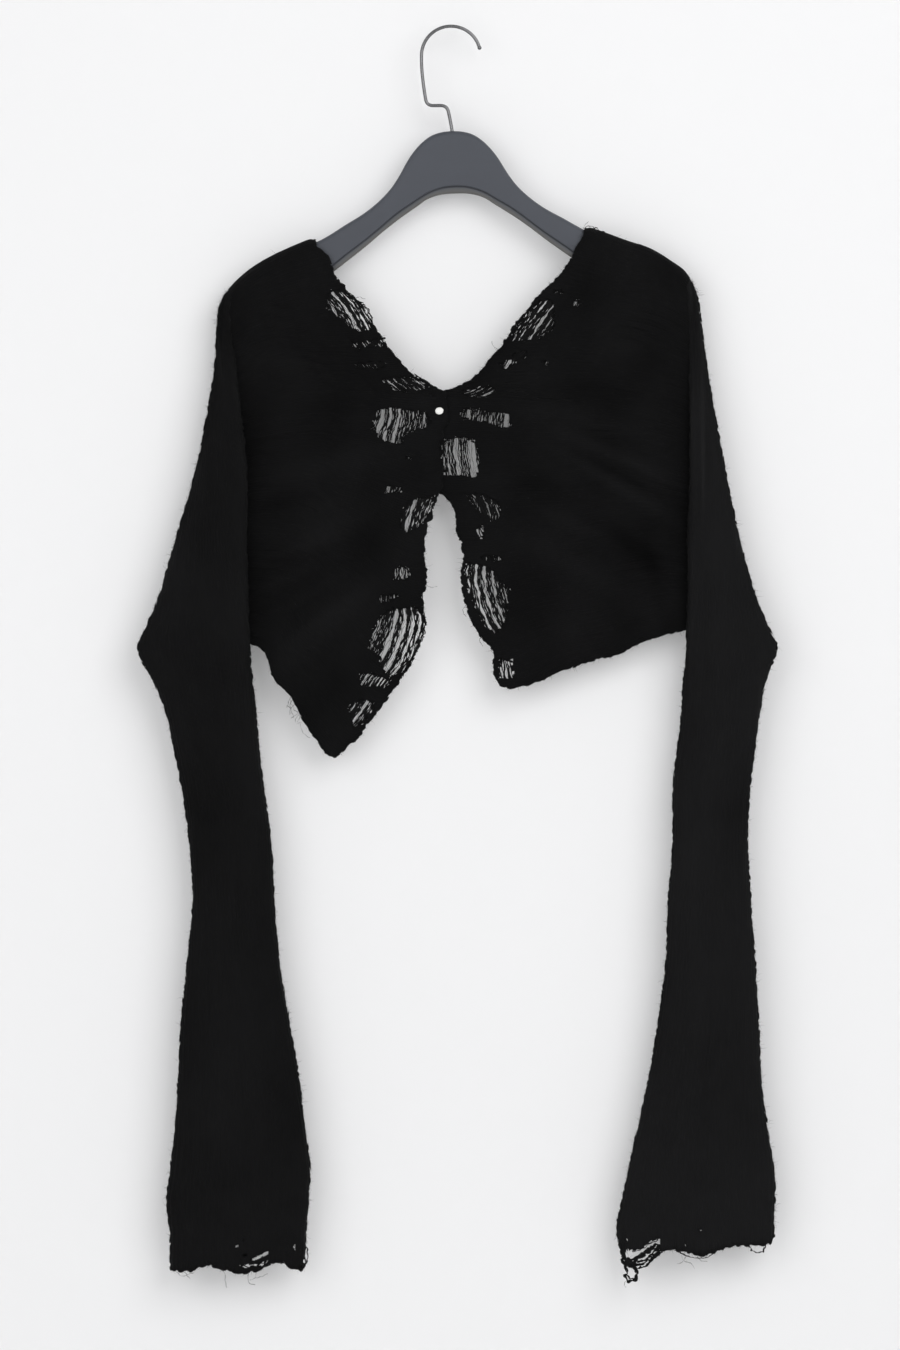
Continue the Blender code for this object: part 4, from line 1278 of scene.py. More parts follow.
    def raise_ribs(self, grid: Array, across: Array, phase: Array) -> Array:
        """Return the outer face with its ribs, its lumps and its rolled edge.

        Args:
            grid: places as X, Y and down.
            across: the columns' shares from the armhole to the front edge.
            phase: the rows' places, counted in ribs.

        Returns:
            Places as X, Y and Z.
        """
        points = grid * (1.0, 1.0, -1.0)
        normals = grid_normals(points)
        if normals[..., 1].mean() * self.facing < 0:
            normals = -normals
        out, down = self.side.sign * grid[..., 0], grid[..., 2]
        wander = 0.35 * self.waves(2, 90.0).at(out, down)
        even = 0.75 + 0.35 * self.waves(1, 60.0).at(out, down)
        rib = self.rib_height * np.cos(2.0 * math.pi * (phase[:, None] + wander)) * even
        broad = 0.5 + 0.5 * self.waves(12, 55.0).at(out, down)
        turn = 2.0 * math.pi * (phase[:, None] / self.ribs_per_broad + wander)
        rib = rib + self.broad_height * broad * np.cos(turn) * ease(
            across, 0.02, 0.12) * (1.0 - ease(across, 0.35, 0.75))
        pitch = np.linalg.norm(np.gradient(points, axis=0), axis=2)
        rib = rib * np.clip(pitch * self.rows_per_rib / self.rib_pitch, 0.0, 1.0) ** 2
        lump = self.lump_height * self.waves(3, 9.0, 14).at(out, down)
        fade = ease(np.arange(len(phase)), 0.0, 6.0)[:, None]
        roll = self.edge_roll * np.exp(-((1.0 - across)[None, :] * self.wide / 3.0) ** 2)
        return points + normals * ((rib + lump) * fade + roll)[..., None]

    def paleness_and_painted_light(self, out: Array, down: Array) -> Array:
        """Return the painted light and shade of the knit, with some random tone: painted highlights
        on folds, painted shade in their troughs and, on a front, beside the sleeve, and a front
        painted paler towards the top.
        """
        raised = 0.45 * sum(fold.lift(out, down) for fold in self.folds) + 0.30 * self.waves(
            10, 80.0).at(out, down)
        if not self.is_front:
            return raised
        # Painted shade beside the sleeve's fold line, and the front painted paler towards the top.
        beside = row_at(self.side, down)[1] - out
        return raised - 1.3 * np.exp(-(np.maximum(beside, 0.0) / 17.0) ** 2) * ease(
            down, 290.0, 420.0) + 0.7 * ease(-down, -300.0, -200.0)

    def build(self) -> Piece:
        """Build the panel, its yarns and its fuzz.

        Returns:
            The cloth piece.
        """
        across = np.concatenate([
            np.linspace(0.0, self.fine_from, self.coarse_columns, endpoint=False),
            np.linspace(self.fine_from, 1.0, self.fine_columns)])
        ribs = self.armhole.length / self.rib_pitch
        along = np.linspace(0.0, 1.0, int(ribs * self.rows_per_rib))
        turns = np.linspace(0.0, 0.5 * math.pi, self.arc_rows, endpoint=False)
        body = self.base(across, along)
        grid = np.concatenate([self.over_arm(across, turns), body])
        phase = np.concatenate([(turns - 0.5 * math.pi) * OVER_ARM / self.rib_pitch, along * ribs])
        points = self.fray(self.raise_ribs(grid, across, phase), across)
        keep = self.open_cells(points)
        quads = grid_faces(*points.shape[:2], keep=keep)
        if self.is_front != (self.side is Side.LEFT):
            quads = quads[:, ::-1]
        uv = np.stack(np.broadcast_arrays(
            across * 220.0 * MM, (phase * self.rib_pitch * MM)[:, None]), axis=-1)
        nap, comb = self.nap(points, keep)
        raised = self.paleness_and_painted_light(self.side.sign * grid[..., 0], grid[..., 2])
        self.cloth = new_object(self.name + "_knit", cloth_mesh(
            self.name, points * MM, uv, nap, comb, raised, quads), self.shop.knit)
        thicken(self.cloth, CLOTH_THICK)
        self.pieces = self.shop.grow_fuzz(self.cloth, self.nap_density, self.stray_density,
                                          self.seed)
        if self.is_front:
            lines = self.yarns(across, body) + self.loose() + self.matted(
                [points[self.arc_rows:, -1], points[-1], points[0]])
            self.pieces += self.shop.spin(
                self.name + "_yarns", lines, self.yarn_nap_density, self.seed + 2)
        return self.cloth

    def fray(self, points: Array, across: Array) -> Array:
        """Make the front edge and the hem slightly uneven."""
        steps, top_rows = np.arange(points.shape[0])[:, None], self.arc_rows
        down = -points[..., 2]
        ragged = 0.5 * self.waves(4, 17.0).at(down, 0.0) + 0.5 * self.waves(5, 4.0).at(down, 0.0)
        reach = np.exp(-((1.0 - across) * self.wide / 8.0) ** 2)[None, :]
        points = points.copy()
        points[..., 0] -= self.side.sign * (ragged * reach * ease(
            steps, top_rows, top_rows + 20.0))
        x = points[..., 0]
        points[..., 2] += np.exp(-((points.shape[0] - 1 - steps) / 8.0) ** 2) * (
            0.5 * self.waves(6, 12.0).at(x, 0.0) + 0.3 * self.waves(7, 4.0).at(x, 0.0))
        return points

    def open_cells(self, points: Array) -> Array:
        """Return which cells of the grid stay, a front's ladders left out."""
        x, down = as_seen(cell_middles(points))
        x = x + 0.7 * self.waves(8, 5.0).at(x, down)
        down = down + 0.6 * self.waves(9, 5.0).at(x, down)
        ladders = LADDERS[self.side] if self.is_front else ()
        return cut_out([ladder.outline for ladder in ladders], x, down)

    def nap(self, points: Array, keep: Array) -> tuple[Array, Array]:
        """Return how hairy each point is, and the way its hairs lean."""
        edge = beside_gap(keep).astype(float)
        edge[:, -2:] = 1.0
        edge[-3:, :] = 1.0
        edge[:3, :] = 1.0
        comb = np.zeros(points.shape)
        comb[:, -2:, 0] = -2.2 * self.side.sign
        comb[-3:, :, 2] = -2.2
        return 0.006 + edge, comb

    def yarns(self, across: Array, body: Array) -> Strands:
        """Return the loose yarns that cross the ladders and run round them."""
        draw = np.random.default_rng(self.seed)
        fine = np.linspace(0.0, 1.0, 900)
        made = []
        for ladder in LADDERS[self.side]:
            outline = from_photo(ladder.outline)
            held = inside(outline, body[..., 0], body[..., 2])
            if held.sum() < 3:
                centre = outline.mean(axis=0)
                spread = np.hypot(body[..., 0] - centre[0], body[..., 2] - centre[1])
                held = spread <= np.partition(spread.ravel(), 6)[6]
            columns = across[np.nonzero(held)[1]]
            low, high = columns.min(), columns.max()
            row = int(np.median(np.nonzero(held)[0]))
            width = abs(np.interp(high, across, body[row, :, 0])
                        - np.interp(low, across, body[row, :, 0]))
            count = max(int(width / (self.crowding * ladder.spacing)), 1)
            for place in (np.arange(count) + 0.5) / count:
                place = place + draw.uniform(-0.22, 0.22) / count
                is_gap = any(abs(place - 0.5 * (a + b)) < 0.5 * self.gap_share * (b - a)
                             for a, b in ladder.gaps)
                if is_gap and draw.uniform() < self.gap_bare:
                    continue
                line = self.base(np.array([low + (high - low) * place]), fine)[:, 0]
                within = np.nonzero(inside(outline, line[:, 0], line[:, 2]))[0]
                if len(within) < 2:
                    continue
                made.append(self.strand(
                    line, within, ladder.yarn * (self.fine_yarn if is_gap else 1.0), draw))
            made += self.rim(outline, draw)
        return made

    def rim(self, outline: Array, draw: np.random.Generator) -> Strands:
        """Return two loose yarns round a ladder's outline."""
        made = []
        for thick in (0.55, 0.42):
            line = Line([tuple(place) for place in np.concatenate([outline, outline[:2]])])
            steps = max(int(line.length / 1.2), 8)
            flat, run = line.at(np.linspace(0.0, 1.0, steps)), np.linspace(0.0, line.length, steps)
            wave = Waves(int(draw.integers(1, 9999)), 5.0, 6)
            x, down = flat[:, 0] + 0.75 * wave.at(run, 0.0), flat[:, 1] + 0.75 * wave.at(run, 5.0)
            y = self.face(self.side.sign * x, down) + 0.7 + 0.3 * wave.at(run, 9.0)
            radii = thick * (1.0 + 0.4 * wave.at(run, 13.0))
            made.append((np.stack([x, y, -down], axis=-1) * MM, np.clip(radii, 0.15, 1.0) * MM))
        return made

    def strand(self, line: Array, within: Array, thick: float, draw: np.random.Generator
               ) -> tuple[Array, Array]:
        """Return one loose yarn across a ladder.

        Args:
            line: the yarn's whole course over the panel, in millimetres.
            within: which of its places lie in the ladder.
            thick: its mean radius in millimetres.
            draw: the random numbers.

        Returns:
            Its points and its radii, in metres.
        """
        first, last = max(within[0] - 5, 0), min(within[-1] + 5, len(line) - 1)
        length = np.linalg.norm(np.diff(line[first:last + 1], axis=0), axis=1).sum()
        steps = max(int(length / self.yarn_step), 5)
        picks = np.linspace(first, last, steps)
        base = np.stack([np.interp(picks, np.arange(len(line)), line[:, i]) for i in range(3)],
                        axis=-1)
        run = np.linspace(0.0, length, steps)
        free = np.sin(np.linspace(0.0, math.pi, steps)) ** 0.5
        seed = int(draw.integers(1, 9999))
        slow, quick, swell = (Waves(seed + i, reach, 5) for i, reach in enumerate((16.0, 5.0, 6.0)))
        base[:, 0] += free * (0.55 * slow.at(run, 0.0) + 0.22 * quick.at(run, 0.0))
        base[:, 1] += 0.75 + free * 0.4 * slow.at(run, 9.0)
        radii = thick * draw.uniform(0.70, 1.35) * (1.0 + 0.38 * swell.at(run, 0.0))
        return base * (MM, MM, -MM), np.clip(radii, 0.06, 1.2) * MM

    def loose(self) -> Strands:
        """Return the loose hairs and loops along the edges."""
        return [loose_strand(places, thick, -OVER_ARM - 0.4, self.seed + 30 + i)
                for i, (thick, places) in enumerate(FRONT_STRANDS[self.side])]



# ---- Sleeves

def arc(centre: Pair, reach: Pair, start: float, end: float, count: int) -> Array:
    """Return places on an ellipse, from one angle in degrees to another."""
    angle = np.radians(np.linspace(start, end, count))
    return np.stack([centre[0] + reach[0] * np.cos(angle), centre[1] + reach[1] * np.sin(angle)],
                    axis=-1)


@dataclass
class Sleeve(Cloth):
    """One long sleeve, folded in front of the body, flaring to a ragged cuff."""

    around: int = 204
    row_step: float = 8.4
    ribs: int = 57
    rib_height: float = 0.36
    lump_height: float = 0.20
    drape_height: float = 0.7
    seam_share: float = 0.012
    weld_within: float = 0.00002
    girth: float = 0.24
    nap_density: float = 520000.0
    stray_density: float = 30000.0
    strand_nap_density: float = 260000.0
    strand_y: float = -18.6

    def __post_init__(self) -> None:
        """Name the sleeve and find its heights."""
        self.name = "sleeve_" + self.side.value
        self.nodes = [self.name]
        rows = SLEEVE_ROWS[self.side]
        self.top, self.end = float(rows[0][0]), float(rows[-1][0])
        self.seed = 41 + 5 * (self.side is Side.RIGHT)
        # The right sleeve's knit is painted paler than the left's, as painted light from the right.
        self.paleness_and_painted_light = 2.7 if self.side is Side.RIGHT else 0.98
        self.shares = np.linspace(0.0, 1.0, self.around)

    def depths(self, down: float, width: float, rise: float) -> Triple:
        """Return Y of the front, under and back faces at a height."""
        if down > UNDERARM_DOWN:
            settle = float(ease(down, UNDERARM_DOWN, UNDERARM_DOWN + 75.0))
            under = -OVER_ARM - SEAM
            front = under - 2 * WALL - SLEEVE_ROOM
            back = under + (TUBE_BACK - under) * settle
            return front + (TUBE_FRONT - front) * settle, back, back
        opened = float(ease(width, 5.0, 26.0))
        under = -OVER_ARM * rise - SEAM
        corner = OVER_ARM + (UNDERARM_BACK - OVER_ARM) * float(
            ease(down, UNDERARM_DOWN - 130.0, UNDERARM_DOWN - 18.0))
        closing = float(ease(down, UNDERARM_DOWN - 18.0, UNDERARM_DOWN))
        back = corner + (under - corner) * closing if rise >= 1.0 else OVER_ARM * rise
        return under - 2 * WALL * opened - (0.6 + (SLEEVE_ROOM - 0.6) * opened), under, back

    def section(self, down: float) -> Array:
        """Return one section from the back seam to the front seam.

        Args:
            down: its height below the origin, in millimetres.

        Returns:
            Its places as X, Y and down.
        """
        outer, fold = (float(v) for v in row_at(self.side, down))
        fallen = min((down - self.top) / OVER_ARM, 1.0)
        rise = math.sqrt(max(1.0 - (1.0 - fallen) ** 2, 0.0))
        width = max(outer - fold, 0.5)
        front, under, back = self.depths(down, outer - fold, rise)
        wrap = min(SEAM_B_INSET, 0.5 * width)
        near = float(ease(down, UNDERARM_DOWN - 18.0, UNDERARM_DOWN))
        seam = outer - (min(SEAM_A_INSET, 0.55 * width) * (1 - near) + wrap * near)
        turn = min(0.5 * (under - front), 0.36 * width)
        wrap_arc = arc((outer - wrap, 0.5 * (front + back)), (wrap, 0.5 * (back - front)),
                       90.0, -90.0, 40)
        fold_arc = arc((fold + turn, 0.5 * (front + under)), (turn, 0.5 * (under - front)),
                       270.0, 90.0, 30)
        ahead = np.linspace(wrap_arc[-1], fold_arc[0], 30)[1:-1]
        behind = np.linspace(fold_arc[-1], (seam, under), 30)[1:]
        line = np.concatenate([wrap_arc, ahead, fold_arc, behind])
        share = (line[:, 0] - fold) / width
        slack = SLACK * float(ease(width, 8.0, 30.0)) * (1 - near)
        leaning = np.where(line[:, 1] > front - 1.0, slack * (1.0 - ease(share, 0.0, 0.9)), 0.0)
        push = sum(height * np.exp(-((share - place) / wide) ** 2 - ((down - mid) / long) ** 2)
                   for place, mid, long, wide, height in SLEEVE_FOLDS[self.side])
        line[:, 1] -= leaning + push
        steps = np.hypot(*np.diff(line, axis=0).T)
        run = np.concatenate(([0.0], np.cumsum(steps)))
        picks = np.linspace(0.0, run[-1], self.around)
        out, along_y = (np.interp(picks, run, line[:, i]) for i in (0, 1))
        return np.stack([self.side.sign * out, along_y, np.full(self.around, down)], axis=-1)

    def levels(self) -> Array:
        """Return the heights of the rows, closer together at the shoulder and the cuff."""
        near = self.top + np.array([0.4, 1.2, 2.4, 4.0, 6.0, 8.4, 11.0, 14.0])
        middle = np.arange(self.top + 18.0, self.end - 62.0, self.row_step)
        low = np.linspace(self.end - 60.0, self.end, 34)
        return np.concatenate([near, middle, low])

    def raise_ribs(self, grid: Array, tall: Array) -> tuple[Array, Array]:
        """Return the outer face with its ribs, and its painted light and shade.

        Args:
            grid: places as X, Y and down.
            tall: the rows' heights, as a column.

        Returns:
            Places as X, Y and Z, and a grid of painted light and shade with some random tone.
        """
        points = grid * (1.0, 1.0, -1.0)
        normals = grid_normals(points)
        middle = points.mean(axis=1, keepdims=True)
        if ((points - middle) * normals).sum(axis=2)[len(tall) // 2:].mean() < 0:
            normals = -normals
        share = self.shares[None, :]
        even = 0.8 + 0.3 * self.waves(0, 90.0).at(200.0 * share, tall)
        wander = 0.30 * self.waves(1, 160.0).at(120.0 * share, tall)
        rib = self.rib_height * np.cos(2.0 * math.pi * (self.ribs * share + wander)) * even
        lump = self.lump_height * self.waves(2, 12.0, 14).at(220.0 * share, tall)
        fade = ease(tall, self.top, self.top + 26.0)
        drape = self.drape_height * self.waves(3, 120.0).at(180.0 * share, 0.6 * tall) * ease(
            tall, UNDERARM_DOWN + 30.0, UNDERARM_DOWN + 120.0) * fade
        crease = sum(height * np.exp(-((np.abs(grid[..., 0]) - out) / wide) ** 2
                                     - ((tall - mid) / long) ** 4)
                     for out, mid, long, wide, height in SLEEVE_CREASES[self.side])
        crease = crease * ease(-normals[..., 1], 0.2, 0.7)
        # Painted light and shade: painted highlight and shade on the drape, a painted highlight on
        # the crease, the sleeve painted paler by its side and towards the top, over some random
        # tone.
        raised = 0.25 * drape + 5.0 * crease + self.paleness_and_painted_light * (
            1.0 + 0.5 * ease(-tall, -560.0, -330.0)) + 0.25 * self.waves(9, 90.0).at(
            220.0 * share, 0.5 * tall)
        offset = (rib + lump) * (0.25 + 0.75 * fade) + drape + crease
        return points + normals * offset[..., None], raised

    def close_seam(self, points: Array, tall: Array) -> Array:
        """Return the face with the ends of its sections drawn together below the underarm."""
        shut = ease(tall, UNDERARM_DOWN - 6.0, UNDERARM_DOWN + 6.0)[..., None]
        joint = 0.5 * (points[:, :1] + points[:, -1:])
        pull = sum(np.exp(-(ends / self.seam_share) ** 2)
                   for ends in (self.shares, 1.0 - self.shares))
        return points + (joint - points) * (shut * pull[None, :, None])

    def build(self) -> Piece:
        """Build the sleeve, its loose strands and its fuzz.

        Returns:
            The cloth piece.
        """
        levels = self.levels()
        tall, rows = levels[:, None], np.arange(len(levels))
        grid = np.array([self.section(float(level)) for level in levels])
        grid[..., 2] += self.cuff_drop(grid)
        points, raised = self.raise_ribs(grid, tall)
        points = self.close_seam(points, tall)
        keep = cut_out(SLEEVE_HOLES[self.side], *as_seen(cell_middles(points)))
        quads = grid_faces(*points.shape[:2], keep=keep)
        if self.side is Side.LEFT:
            quads = quads[:, ::-1]
        uv = np.stack(np.broadcast_arrays(tall * MM, self.shares * self.girth), axis=-1)
        nap, comb = self.nap(points, keep)
        self.cloth = new_object(self.name + "_knit", cloth_mesh(
            self.name, points * MM, uv, nap, comb, raised, quads), self.shop.knit)
        repair(self.cloth.data, self.weld_within)
        thicken(self.cloth, CLOTH_THICK)
        self.pieces = self.shop.grow_fuzz(self.cloth, self.nap_density, self.stray_density,
                                          self.seed)
        reach = np.abs(points[..., 0])
        matted = self.matted([points[rows, reach.argmax(axis=1)],
                              points[rows, reach.argmin(axis=1)], points[-1, ::2]])
        self.pieces += self.shop.spin(self.name + "_strands", matted + [
            loose_strand(places, thick, self.strand_y, self.seed + 20 + i)
            for i, (thick, places) in enumerate(LOOSE_STRANDS[self.side])],
            self.strand_nap_density, self.seed + 2)
        return self.cloth

    def cuff_drop(self, grid: Array) -> Array:
        """Return how much lower each place hangs, to follow the cuff's ragged edge."""
        edge = from_photo(CUFF_EDGES[self.side])
        order = np.argsort(edge[:, 0])
        x, down = grid[..., 0], grid[..., 2]
        grow_by = VIEW_DISTANCE / (VIEW_DISTANCE + grid[..., 1] - VIEW_PLANE)
        wanted = VIEW_DOWN + (np.interp(x * grow_by, edge[order, 0], edge[order, 1])
                              - VIEW_DOWN) / grow_by
        ragged = 0.8 * self.waves(6, 7.0).at(x, grid[..., 1] * 3.0)
        is_back = ease(grid[..., 1], -12.0, -8.0)
        share = ease(down, self.end - 60.0, self.end)
        return (wanted - self.end + ragged - 1.0 * is_back) * share

    def nap(self, points: Array, keep: Array) -> tuple[Array, Array]:
        """Return how hairy each point is, and the way its hairs lean."""
        x = np.abs(points[..., 0])
        outer, low = x.max(axis=1, keepdims=True), x.min(axis=1, keepdims=True)
        edge = np.maximum(ease(x, outer - 2.4, outer - 0.3), ease(-x, -low - 2.4, -low - 0.3))
        nap = 0.01 + 1.3 * edge
        nap[beside_gap(keep)] = 1.2
        nap[-3:] = 1.2
        comb = np.zeros(points.shape)
        comb[-3:, :, 2] = -2.0
        return nap, comb


# ---- Hanger, hook and button

# One arm from the middle to the end: along, top, lower edge of the face, lower edge of the lip.
HANGER_STATIONS = [
    (0, 0.0, 49.8, 56.3), (9, 0.8, 50.4, 56.6), (18, 3.4, 52.6, 58.1), (27, 9.4, 56.4, 61.6),
    (34, 16.5, 60.6, 66.4), (41, 26.0, 65.0, 71.0), (48, 38.0, 69.3, 75.6), (56, 49.6, 75.0, 81.2),
    (66, 60.0, 83.0, 88.7), (80, 71.0, 94.0, 100.0), (98, 81.6, 107.0, 113.5),
    (119, 93.8, 122.0, 128.0), (135, 100.6, 130.0, 135.5), (150, 106.5, 135.0, 140.0),
    (166, 113.0, 139.0, 143.5), (175, 118.0, 141.0, 145.0), (184, 123.6, 142.0, 145.5),
    (190, 128.5, 140.5, 143.5)]


HANGER_TOP = 92.9


def hard_piece(name: str, mesh: Mesh, finish: Finish, slot: str, node: str) -> Piece:
    """Put a hard piece in the scene, in the place of its solid."""
    piece = ride(new_object(name, mesh, finish.make()), slot, node)
    report(piece)
    return piece


@dataclass
class Hanger:
    """The moulded hanger, with its rounded crown and the lip set back along its lower edge."""

    thick: float = 12.0
    lip_setback: float = 2.2
    centre: float = 2.7
    tilt: float = -1.66
    step: float = 1.6
    low_shift: float = 1.5
    end_round: float = 2.5
    end_narrow: float = 0.22
    sharp_angle: float = 50.0

    def outline(self, top: float, face_low: float, lip_low: float) -> list[Triple]:
        """Return one section: Y, down and painted light, once round; the painted light is below
        zero for shade in the groove and above zero for the paler lip.
        """
        half, inner = 0.5 * self.thick, 0.5 * self.thick - self.lip_setback
        side = [(0.0, top, 0.0)]
        for angle in np.radians([18, 36, 52, 66, 78, 90]):
            side.append((half * math.sin(angle) ** 0.9, top + 4.6 * (1 - math.cos(angle)), 0.0))
        # Third numbers: painted shade in the groove under the face, painted paler light on the lip.
        side += [(half, top + 9.0, 0.0), (half, 0.5 * (top + face_low), 0.0),
                 (half, face_low - 1.4, 0.0), (half - 0.15, face_low - 0.5, 0.0),
                 (half - 0.6, face_low, 0.0), (inner + 0.25, face_low + 0.05, -1.8),
                 (inner, face_low + 0.9, -2.4), (inner, face_low + 1.8, 0.4),
                 (inner, lip_low - 1.0, 1.0), (inner - 0.3, lip_low - 0.3, 1.0),
                 (inner - 1.0, lip_low, 1.0)]
        return side + [(-y, down, lip) for y, down, lip in reversed(side[1:])]

    def build(self) -> Piece:
        """Build the hanger from end to end.

        Returns:
            The hanger as one piece.
        """
        stations = np.array(HANGER_STATIONS, dtype=float)
        lines = [Line(stations[:, (0, i)]).points for i in (1, 2, 3)]
        shifts = (0.0, self.low_shift, self.low_shift)
        reach = stations[-1, 0]
        places = np.arange(-reach, reach + 0.01, self.step)
        places[0], places[-1] = -reach, reach
        rows = []
        for place in places:
            heights = (np.interp(abs(place - shift), line[:, 0], line[:, 1])
                       for line, shift in zip(lines, shifts))
            shrink = 1.0 - self.end_narrow * float(
                ease(abs(place), reach - self.end_round, reach))
            rows.append([(place, y * shrink, down, lip)
                         for y, down, lip in self.outline(*heights)])
        grid = np.array(rows)
        points = (grid[..., :3] * (1.0, 1.0, -1.0)).reshape(-1, 3)
        turn = np.array(Matrix.Rotation(math.radians(self.tilt), 3, "Y"))
        mesh = mesh_from("hanger", (points @ turn.T + (self.centre, 0.0, -HANGER_TOP)) * MM,
                         tube_faces(*grid.shape[:2]))
        # Painted light of each point: shade in the groove, a paler lip.
        keep_numbers(mesh, "lip", grid[..., 3].ravel())
        repair(mesh)
        mesh.set_sharp_from_angle(angle=math.radians(self.sharp_angle))
        return hard_piece("hanger_body", mesh, GREY_PLASTIC, "hanger", "hanger")


@dataclass
class Hook:
    """The wire hook with its jog above the hanger."""

    radius: float = 1.5
    crook: float = 26.6
    crook_x: float = 1.8
    tip: float = 18.0
    bend: float = 6.0
    sides: int = 20
    step: float = 1.1
    jog: tuple[Pair, ...] = ((4.2, HANGER_TOP + 8.0), (-1.6, 70.0), (-20.4, 70.0))
    cap: tuple[Pair, ...] = ((0.25, 1.16), (0.8, 1.28), (1.4, 1.12), (1.8, 0.7), (2.0, 0.15))

    def route(self) -> Array:
        """Return the wire's middle line, X and down in millimetres."""
        centre_down = self.crook - self.radius
        corners = np.array([*self.jog, (self.crook_x - self.crook, centre_down + 8.0)])
        line = [corners[0]]
        for before, corner, after in zip(corners, corners[1:], corners[2:]):
            start, stop = (corner + (end - corner) * self.bend / np.linalg.norm(end - corner)
                           for end in (before, after))
            for t in np.linspace(0.0, 1.0, 12):
                line.append((1 - t) ** 2 * start + 2 * t * (1 - t) * corner + t * t * stop)
        angles = np.radians(np.linspace(180.0, self.tip, 72))
        line += [np.array((self.crook_x + self.crook * math.cos(a),
                           centre_down - self.crook * math.sin(a))) for a in angles]
        return np.array(line)

    def build(self) -> Piece:
        """Build the wire as a closed tube with a rounded tip.

        Returns:
            The hook as one piece.
        """
        path = Line([tuple(place) for place in self.route()])
        steps = int(path.length / self.step)
        flat = path.at(np.linspace(0.0, 1.0, steps))
        tangent = np.gradient(flat, axis=0)
        tangent /= np.linalg.norm(tangent, axis=1, keepdims=True)
        centres, radii = list(flat), [self.radius] * steps
        for ahead, size in self.cap:
            centres.append(flat[-1] + tangent[-1] * ahead * self.radius)
            radii.append(self.radius * size)
        tangents = np.concatenate([tangent, np.repeat(tangent[-1:], len(self.cap), axis=0)])
        rows = []
        turns = np.linspace(0.0, 2.0 * math.pi, self.sides, endpoint=False)
        for centre, ahead, size in zip(centres, tangents, radii):
            side = np.array((-ahead[1], ahead[0]))
            rows.append([(centre[0] + side[0] * size * math.cos(t), size * math.sin(t),
                          -(centre[1] + side[1] * size * math.cos(t))) for t in turns])
        mesh = mesh_from("hook", np.array(rows).reshape(-1, 3) * MM,
                         tube_faces(len(rows), self.sides))
        lay_uv(mesh, "wire", MM * np.stack([
            np.tile(turns * self.radius, len(rows)),
            np.repeat(np.arange(len(rows)) * self.step, self.sides)], axis=-1))
        repair(mesh)
        return hard_piece("hook_wire", mesh, STEEL, "steel", "hanger_hook")


@dataclass
class Button:
    """The small domed button at the point of the V."""

    x: float = -8.6
    down: float = 345.6
    radius: float = 3.9
    thick: float = 2.6
    rim: float = 0.9
    squash: float = 0.86
    shank: float = 1.2
    sides: int = 48
    sharp_angle: float = 60.0

    def build(self) -> Piece:
        """Build the button with its shank.

        Returns:
            The button as one piece.
        """
        face, under = -OVER_ARM - SEAM, -OVER_ARM + WALL
        profile = [(0.0, face - self.thick)]
        for angle in np.radians(np.linspace(8.0, 90.0, 12)):
            profile.append((self.radius * math.sin(angle), face - self.rim
                            - (self.thick - self.rim) * math.cos(angle) ** 0.85))
        profile += [(0.97 * self.radius, face - 0.45), (0.88 * self.radius, face - 0.12),
                    (0.70 * self.radius, face), (self.shank, face), (self.shank, under),
                    (0.0, under)]
        shape = bmesh.new()
        rings = []
        for radius, y in profile:
            if radius == 0.0:
                rings.append([shape.verts.new((self.x * MM, y * MM, -self.down * MM))] * self.sides)
                continue
            turns = [2.0 * math.pi * i / self.sides for i in range(self.sides)]
            rings.append([shape.verts.new(((self.x + radius * math.cos(t)) * MM, y * MM,
                                           -(self.down + self.squash * radius * math.sin(t)) * MM))
                          for t in turns])
        for near, far in zip(rings, rings[1:]):
            for i in range(self.sides):
                ring = (near[i], near[i - 1], far[i - 1], far[i])
                shape.faces.new([c for n, c in enumerate(ring) if c is not ring[n - 1]])
        bmesh.ops.recalc_face_normals(shape, faces=shape.faces)
        mesh = bpy.data.meshes.new("button")
        shape.to_mesh(mesh)
        shape.free()
        mesh.shade_smooth()
        mesh.set_sharp_from_angle(angle=math.radians(self.sharp_angle))
        return hard_piece("button_dome", mesh, PEARL, "button", "button")


# ---- Studio

@dataclass(frozen=True)
class Lamp:
    """One soft square lamp that faces a target, in metres and watts."""

    name: str
    place: Triple
    target: Triple
    size: float
    power: float

    def build(self) -> None:
        """Add the lamp."""
        data = bpy.data.lights.new(self.name, "AREA")
        data.size, data.energy = self.size, self.power
        made = bpy.data.objects.new(self.name, data)
        made.location = self.place
        aim = Vector(self.target) - Vector(self.place)
        made.rotation_euler = aim.to_track_quat("-Z", "Y").to_euler()
        bpy.context.scene.collection.objects.link(made)


LAMPS = [Lamp("key", (1.5, -2.7, 0.75), (0.1, 0.0, -0.6), 2.4, 52.0),
         Lamp("fill", (-1.5, -2.7, 0.1), (0.0, 0.0, -0.6), 2.4, 32.0),
         Lamp("top", (0.35, -1.30, 1.45), (0.0, 0.0, -0.35), 2.2, 5.0),
         Lamp("back", (0.6, 2.6, 0.6), (0.0, 0.0, -0.6), 2.4, 40.0)]


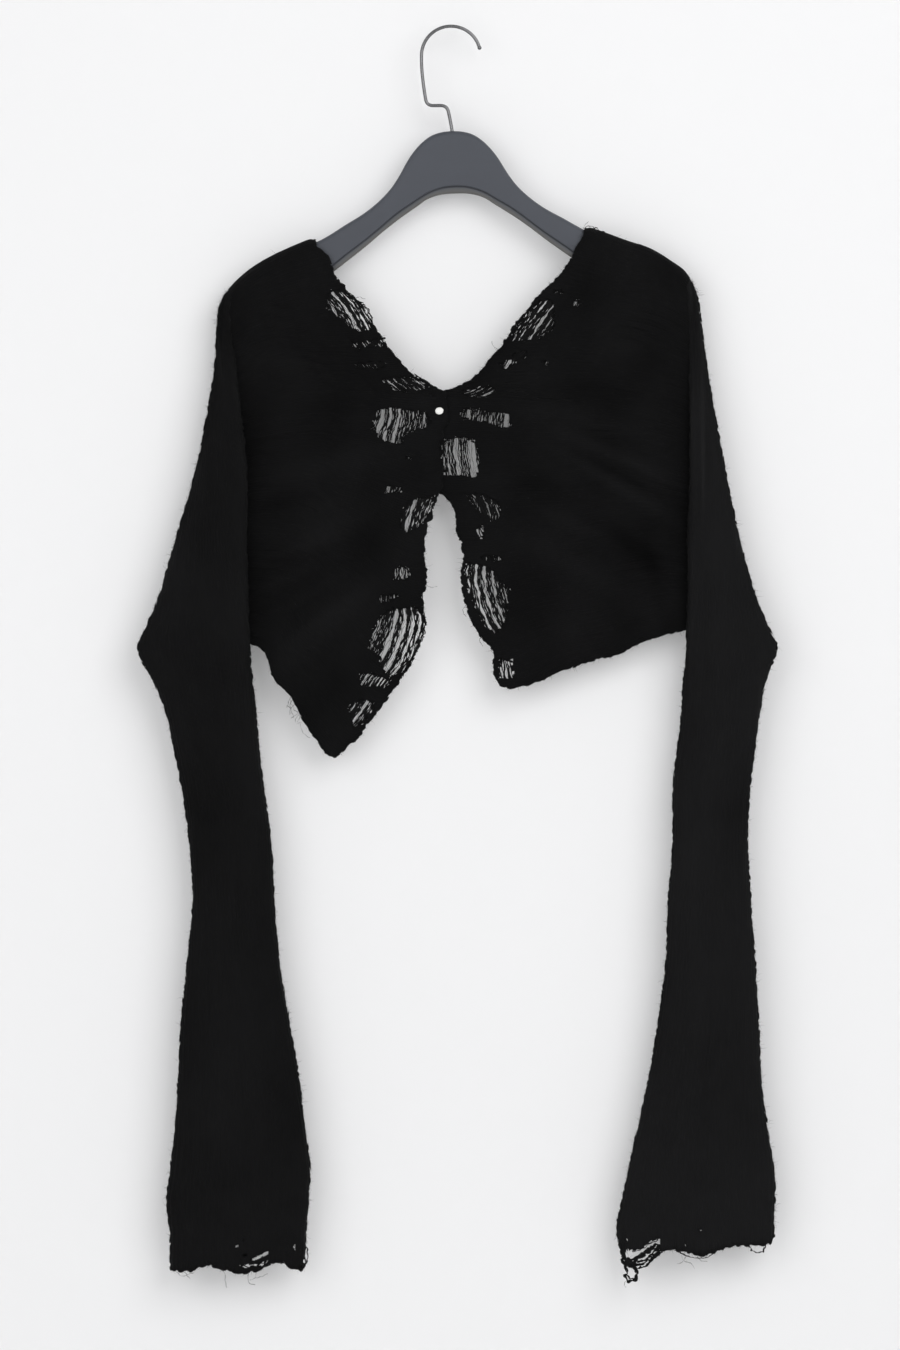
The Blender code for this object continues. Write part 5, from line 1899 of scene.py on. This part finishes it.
@dataclass
class Studio:
    """Backdrop, floor, soft light and the camera, in metres."""

    wall_y: float = 0.023
    wall_reach: float = 2.4
    wall_top: float = 0.9
    floor_z: float = -1.36
    floor_reach: float = 9.0
    sky: float = 0.35
    distance: float = VIEW_DISTANCE * MM
    centre: Pair = (VIEW_MIDDLE * MM, -VIEW_DOWN * MM)
    garment_y: float = VIEW_PLANE * MM
    view_height: float = 1.215
    sensor: float = 36.0

    def build(self) -> None:
        """Set up the stage, the lights and the camera."""
        self.stage()
        self.light()
        self.camera()
        bpy.context.scene.view_settings.view_transform = "Standard"

    def screen(self, name: str, corners: Sequence[Triple], finish: Finish) -> Piece:
        """Add one flat piece of the stage."""
        made = new_object(name, mesh_from(name, corners, [(0, 1, 2, 3)]), finish.make())
        return made

    def stage(self) -> None:
        """Build the backdrop and the floor."""
        wide, y, low, high = self.wall_reach, self.wall_y, self.floor_z, self.wall_top
        self.screen("backdrop", [(-wide, y, low), (wide, y, low), (wide, y, high),
                                 (-wide, y, high)], WALL_WHITE).visible_shadow = False
        far = self.floor_reach
        self.screen("floor", [(-far, -far, low), (far, -far, low), (far, far, low),
                              (-far, far, low)], FLOOR_PALE)

    def light(self) -> None:
        """Light the object softly from the front, above and behind."""
        world = bpy.data.worlds.new("studio")
        bpy.context.scene.world = world
        world.use_nodes = True
        background = world.node_tree.nodes["Background"]
        background.inputs[0].default_value = (1.0, 1.0, 1.0, 1.0)
        background.inputs[1].default_value = self.sky
        for lamp in LAMPS:
            lamp.build()

    def camera(self) -> None:
        """Add the camera, level with the middle of the view."""
        data = bpy.data.cameras.new("camera")
        data.sensor_fit = "AUTO"
        data.sensor_width = self.sensor
        data.lens = self.sensor * self.distance / self.view_height
        data.clip_start, data.clip_end = 0.05, 50.0
        made = bpy.data.objects.new("camera", data)
        made.location = (self.centre[0], self.garment_y - self.distance, self.centre[1])
        made.rotation_euler = (math.radians(90.0), 0.0, 0.0)
        bpy.context.scene.collection.objects.link(made)
        bpy.context.scene.camera = made


def main() -> None:
    """Build every piece in order."""
    logging.basicConfig(level=logging.INFO, format="%(name)s: %(message)s")
    Studio().build()
    shop = Workshop()
    hanger = Hanger().build()
    Hook().build()
    for side in Side:
        front, back = Panel(side, shop, True), Panel(side, shop, False)
        sleeve = Sleeve(side, shop)
        for piece in (front, back, sleeve):
            piece.build()
        front.dress([hanger])
        back.dress([hanger])
        sleeve.dress([front.cloth])
    Button().build()
    shop.clear()


if __name__ == "__main__":
    main()
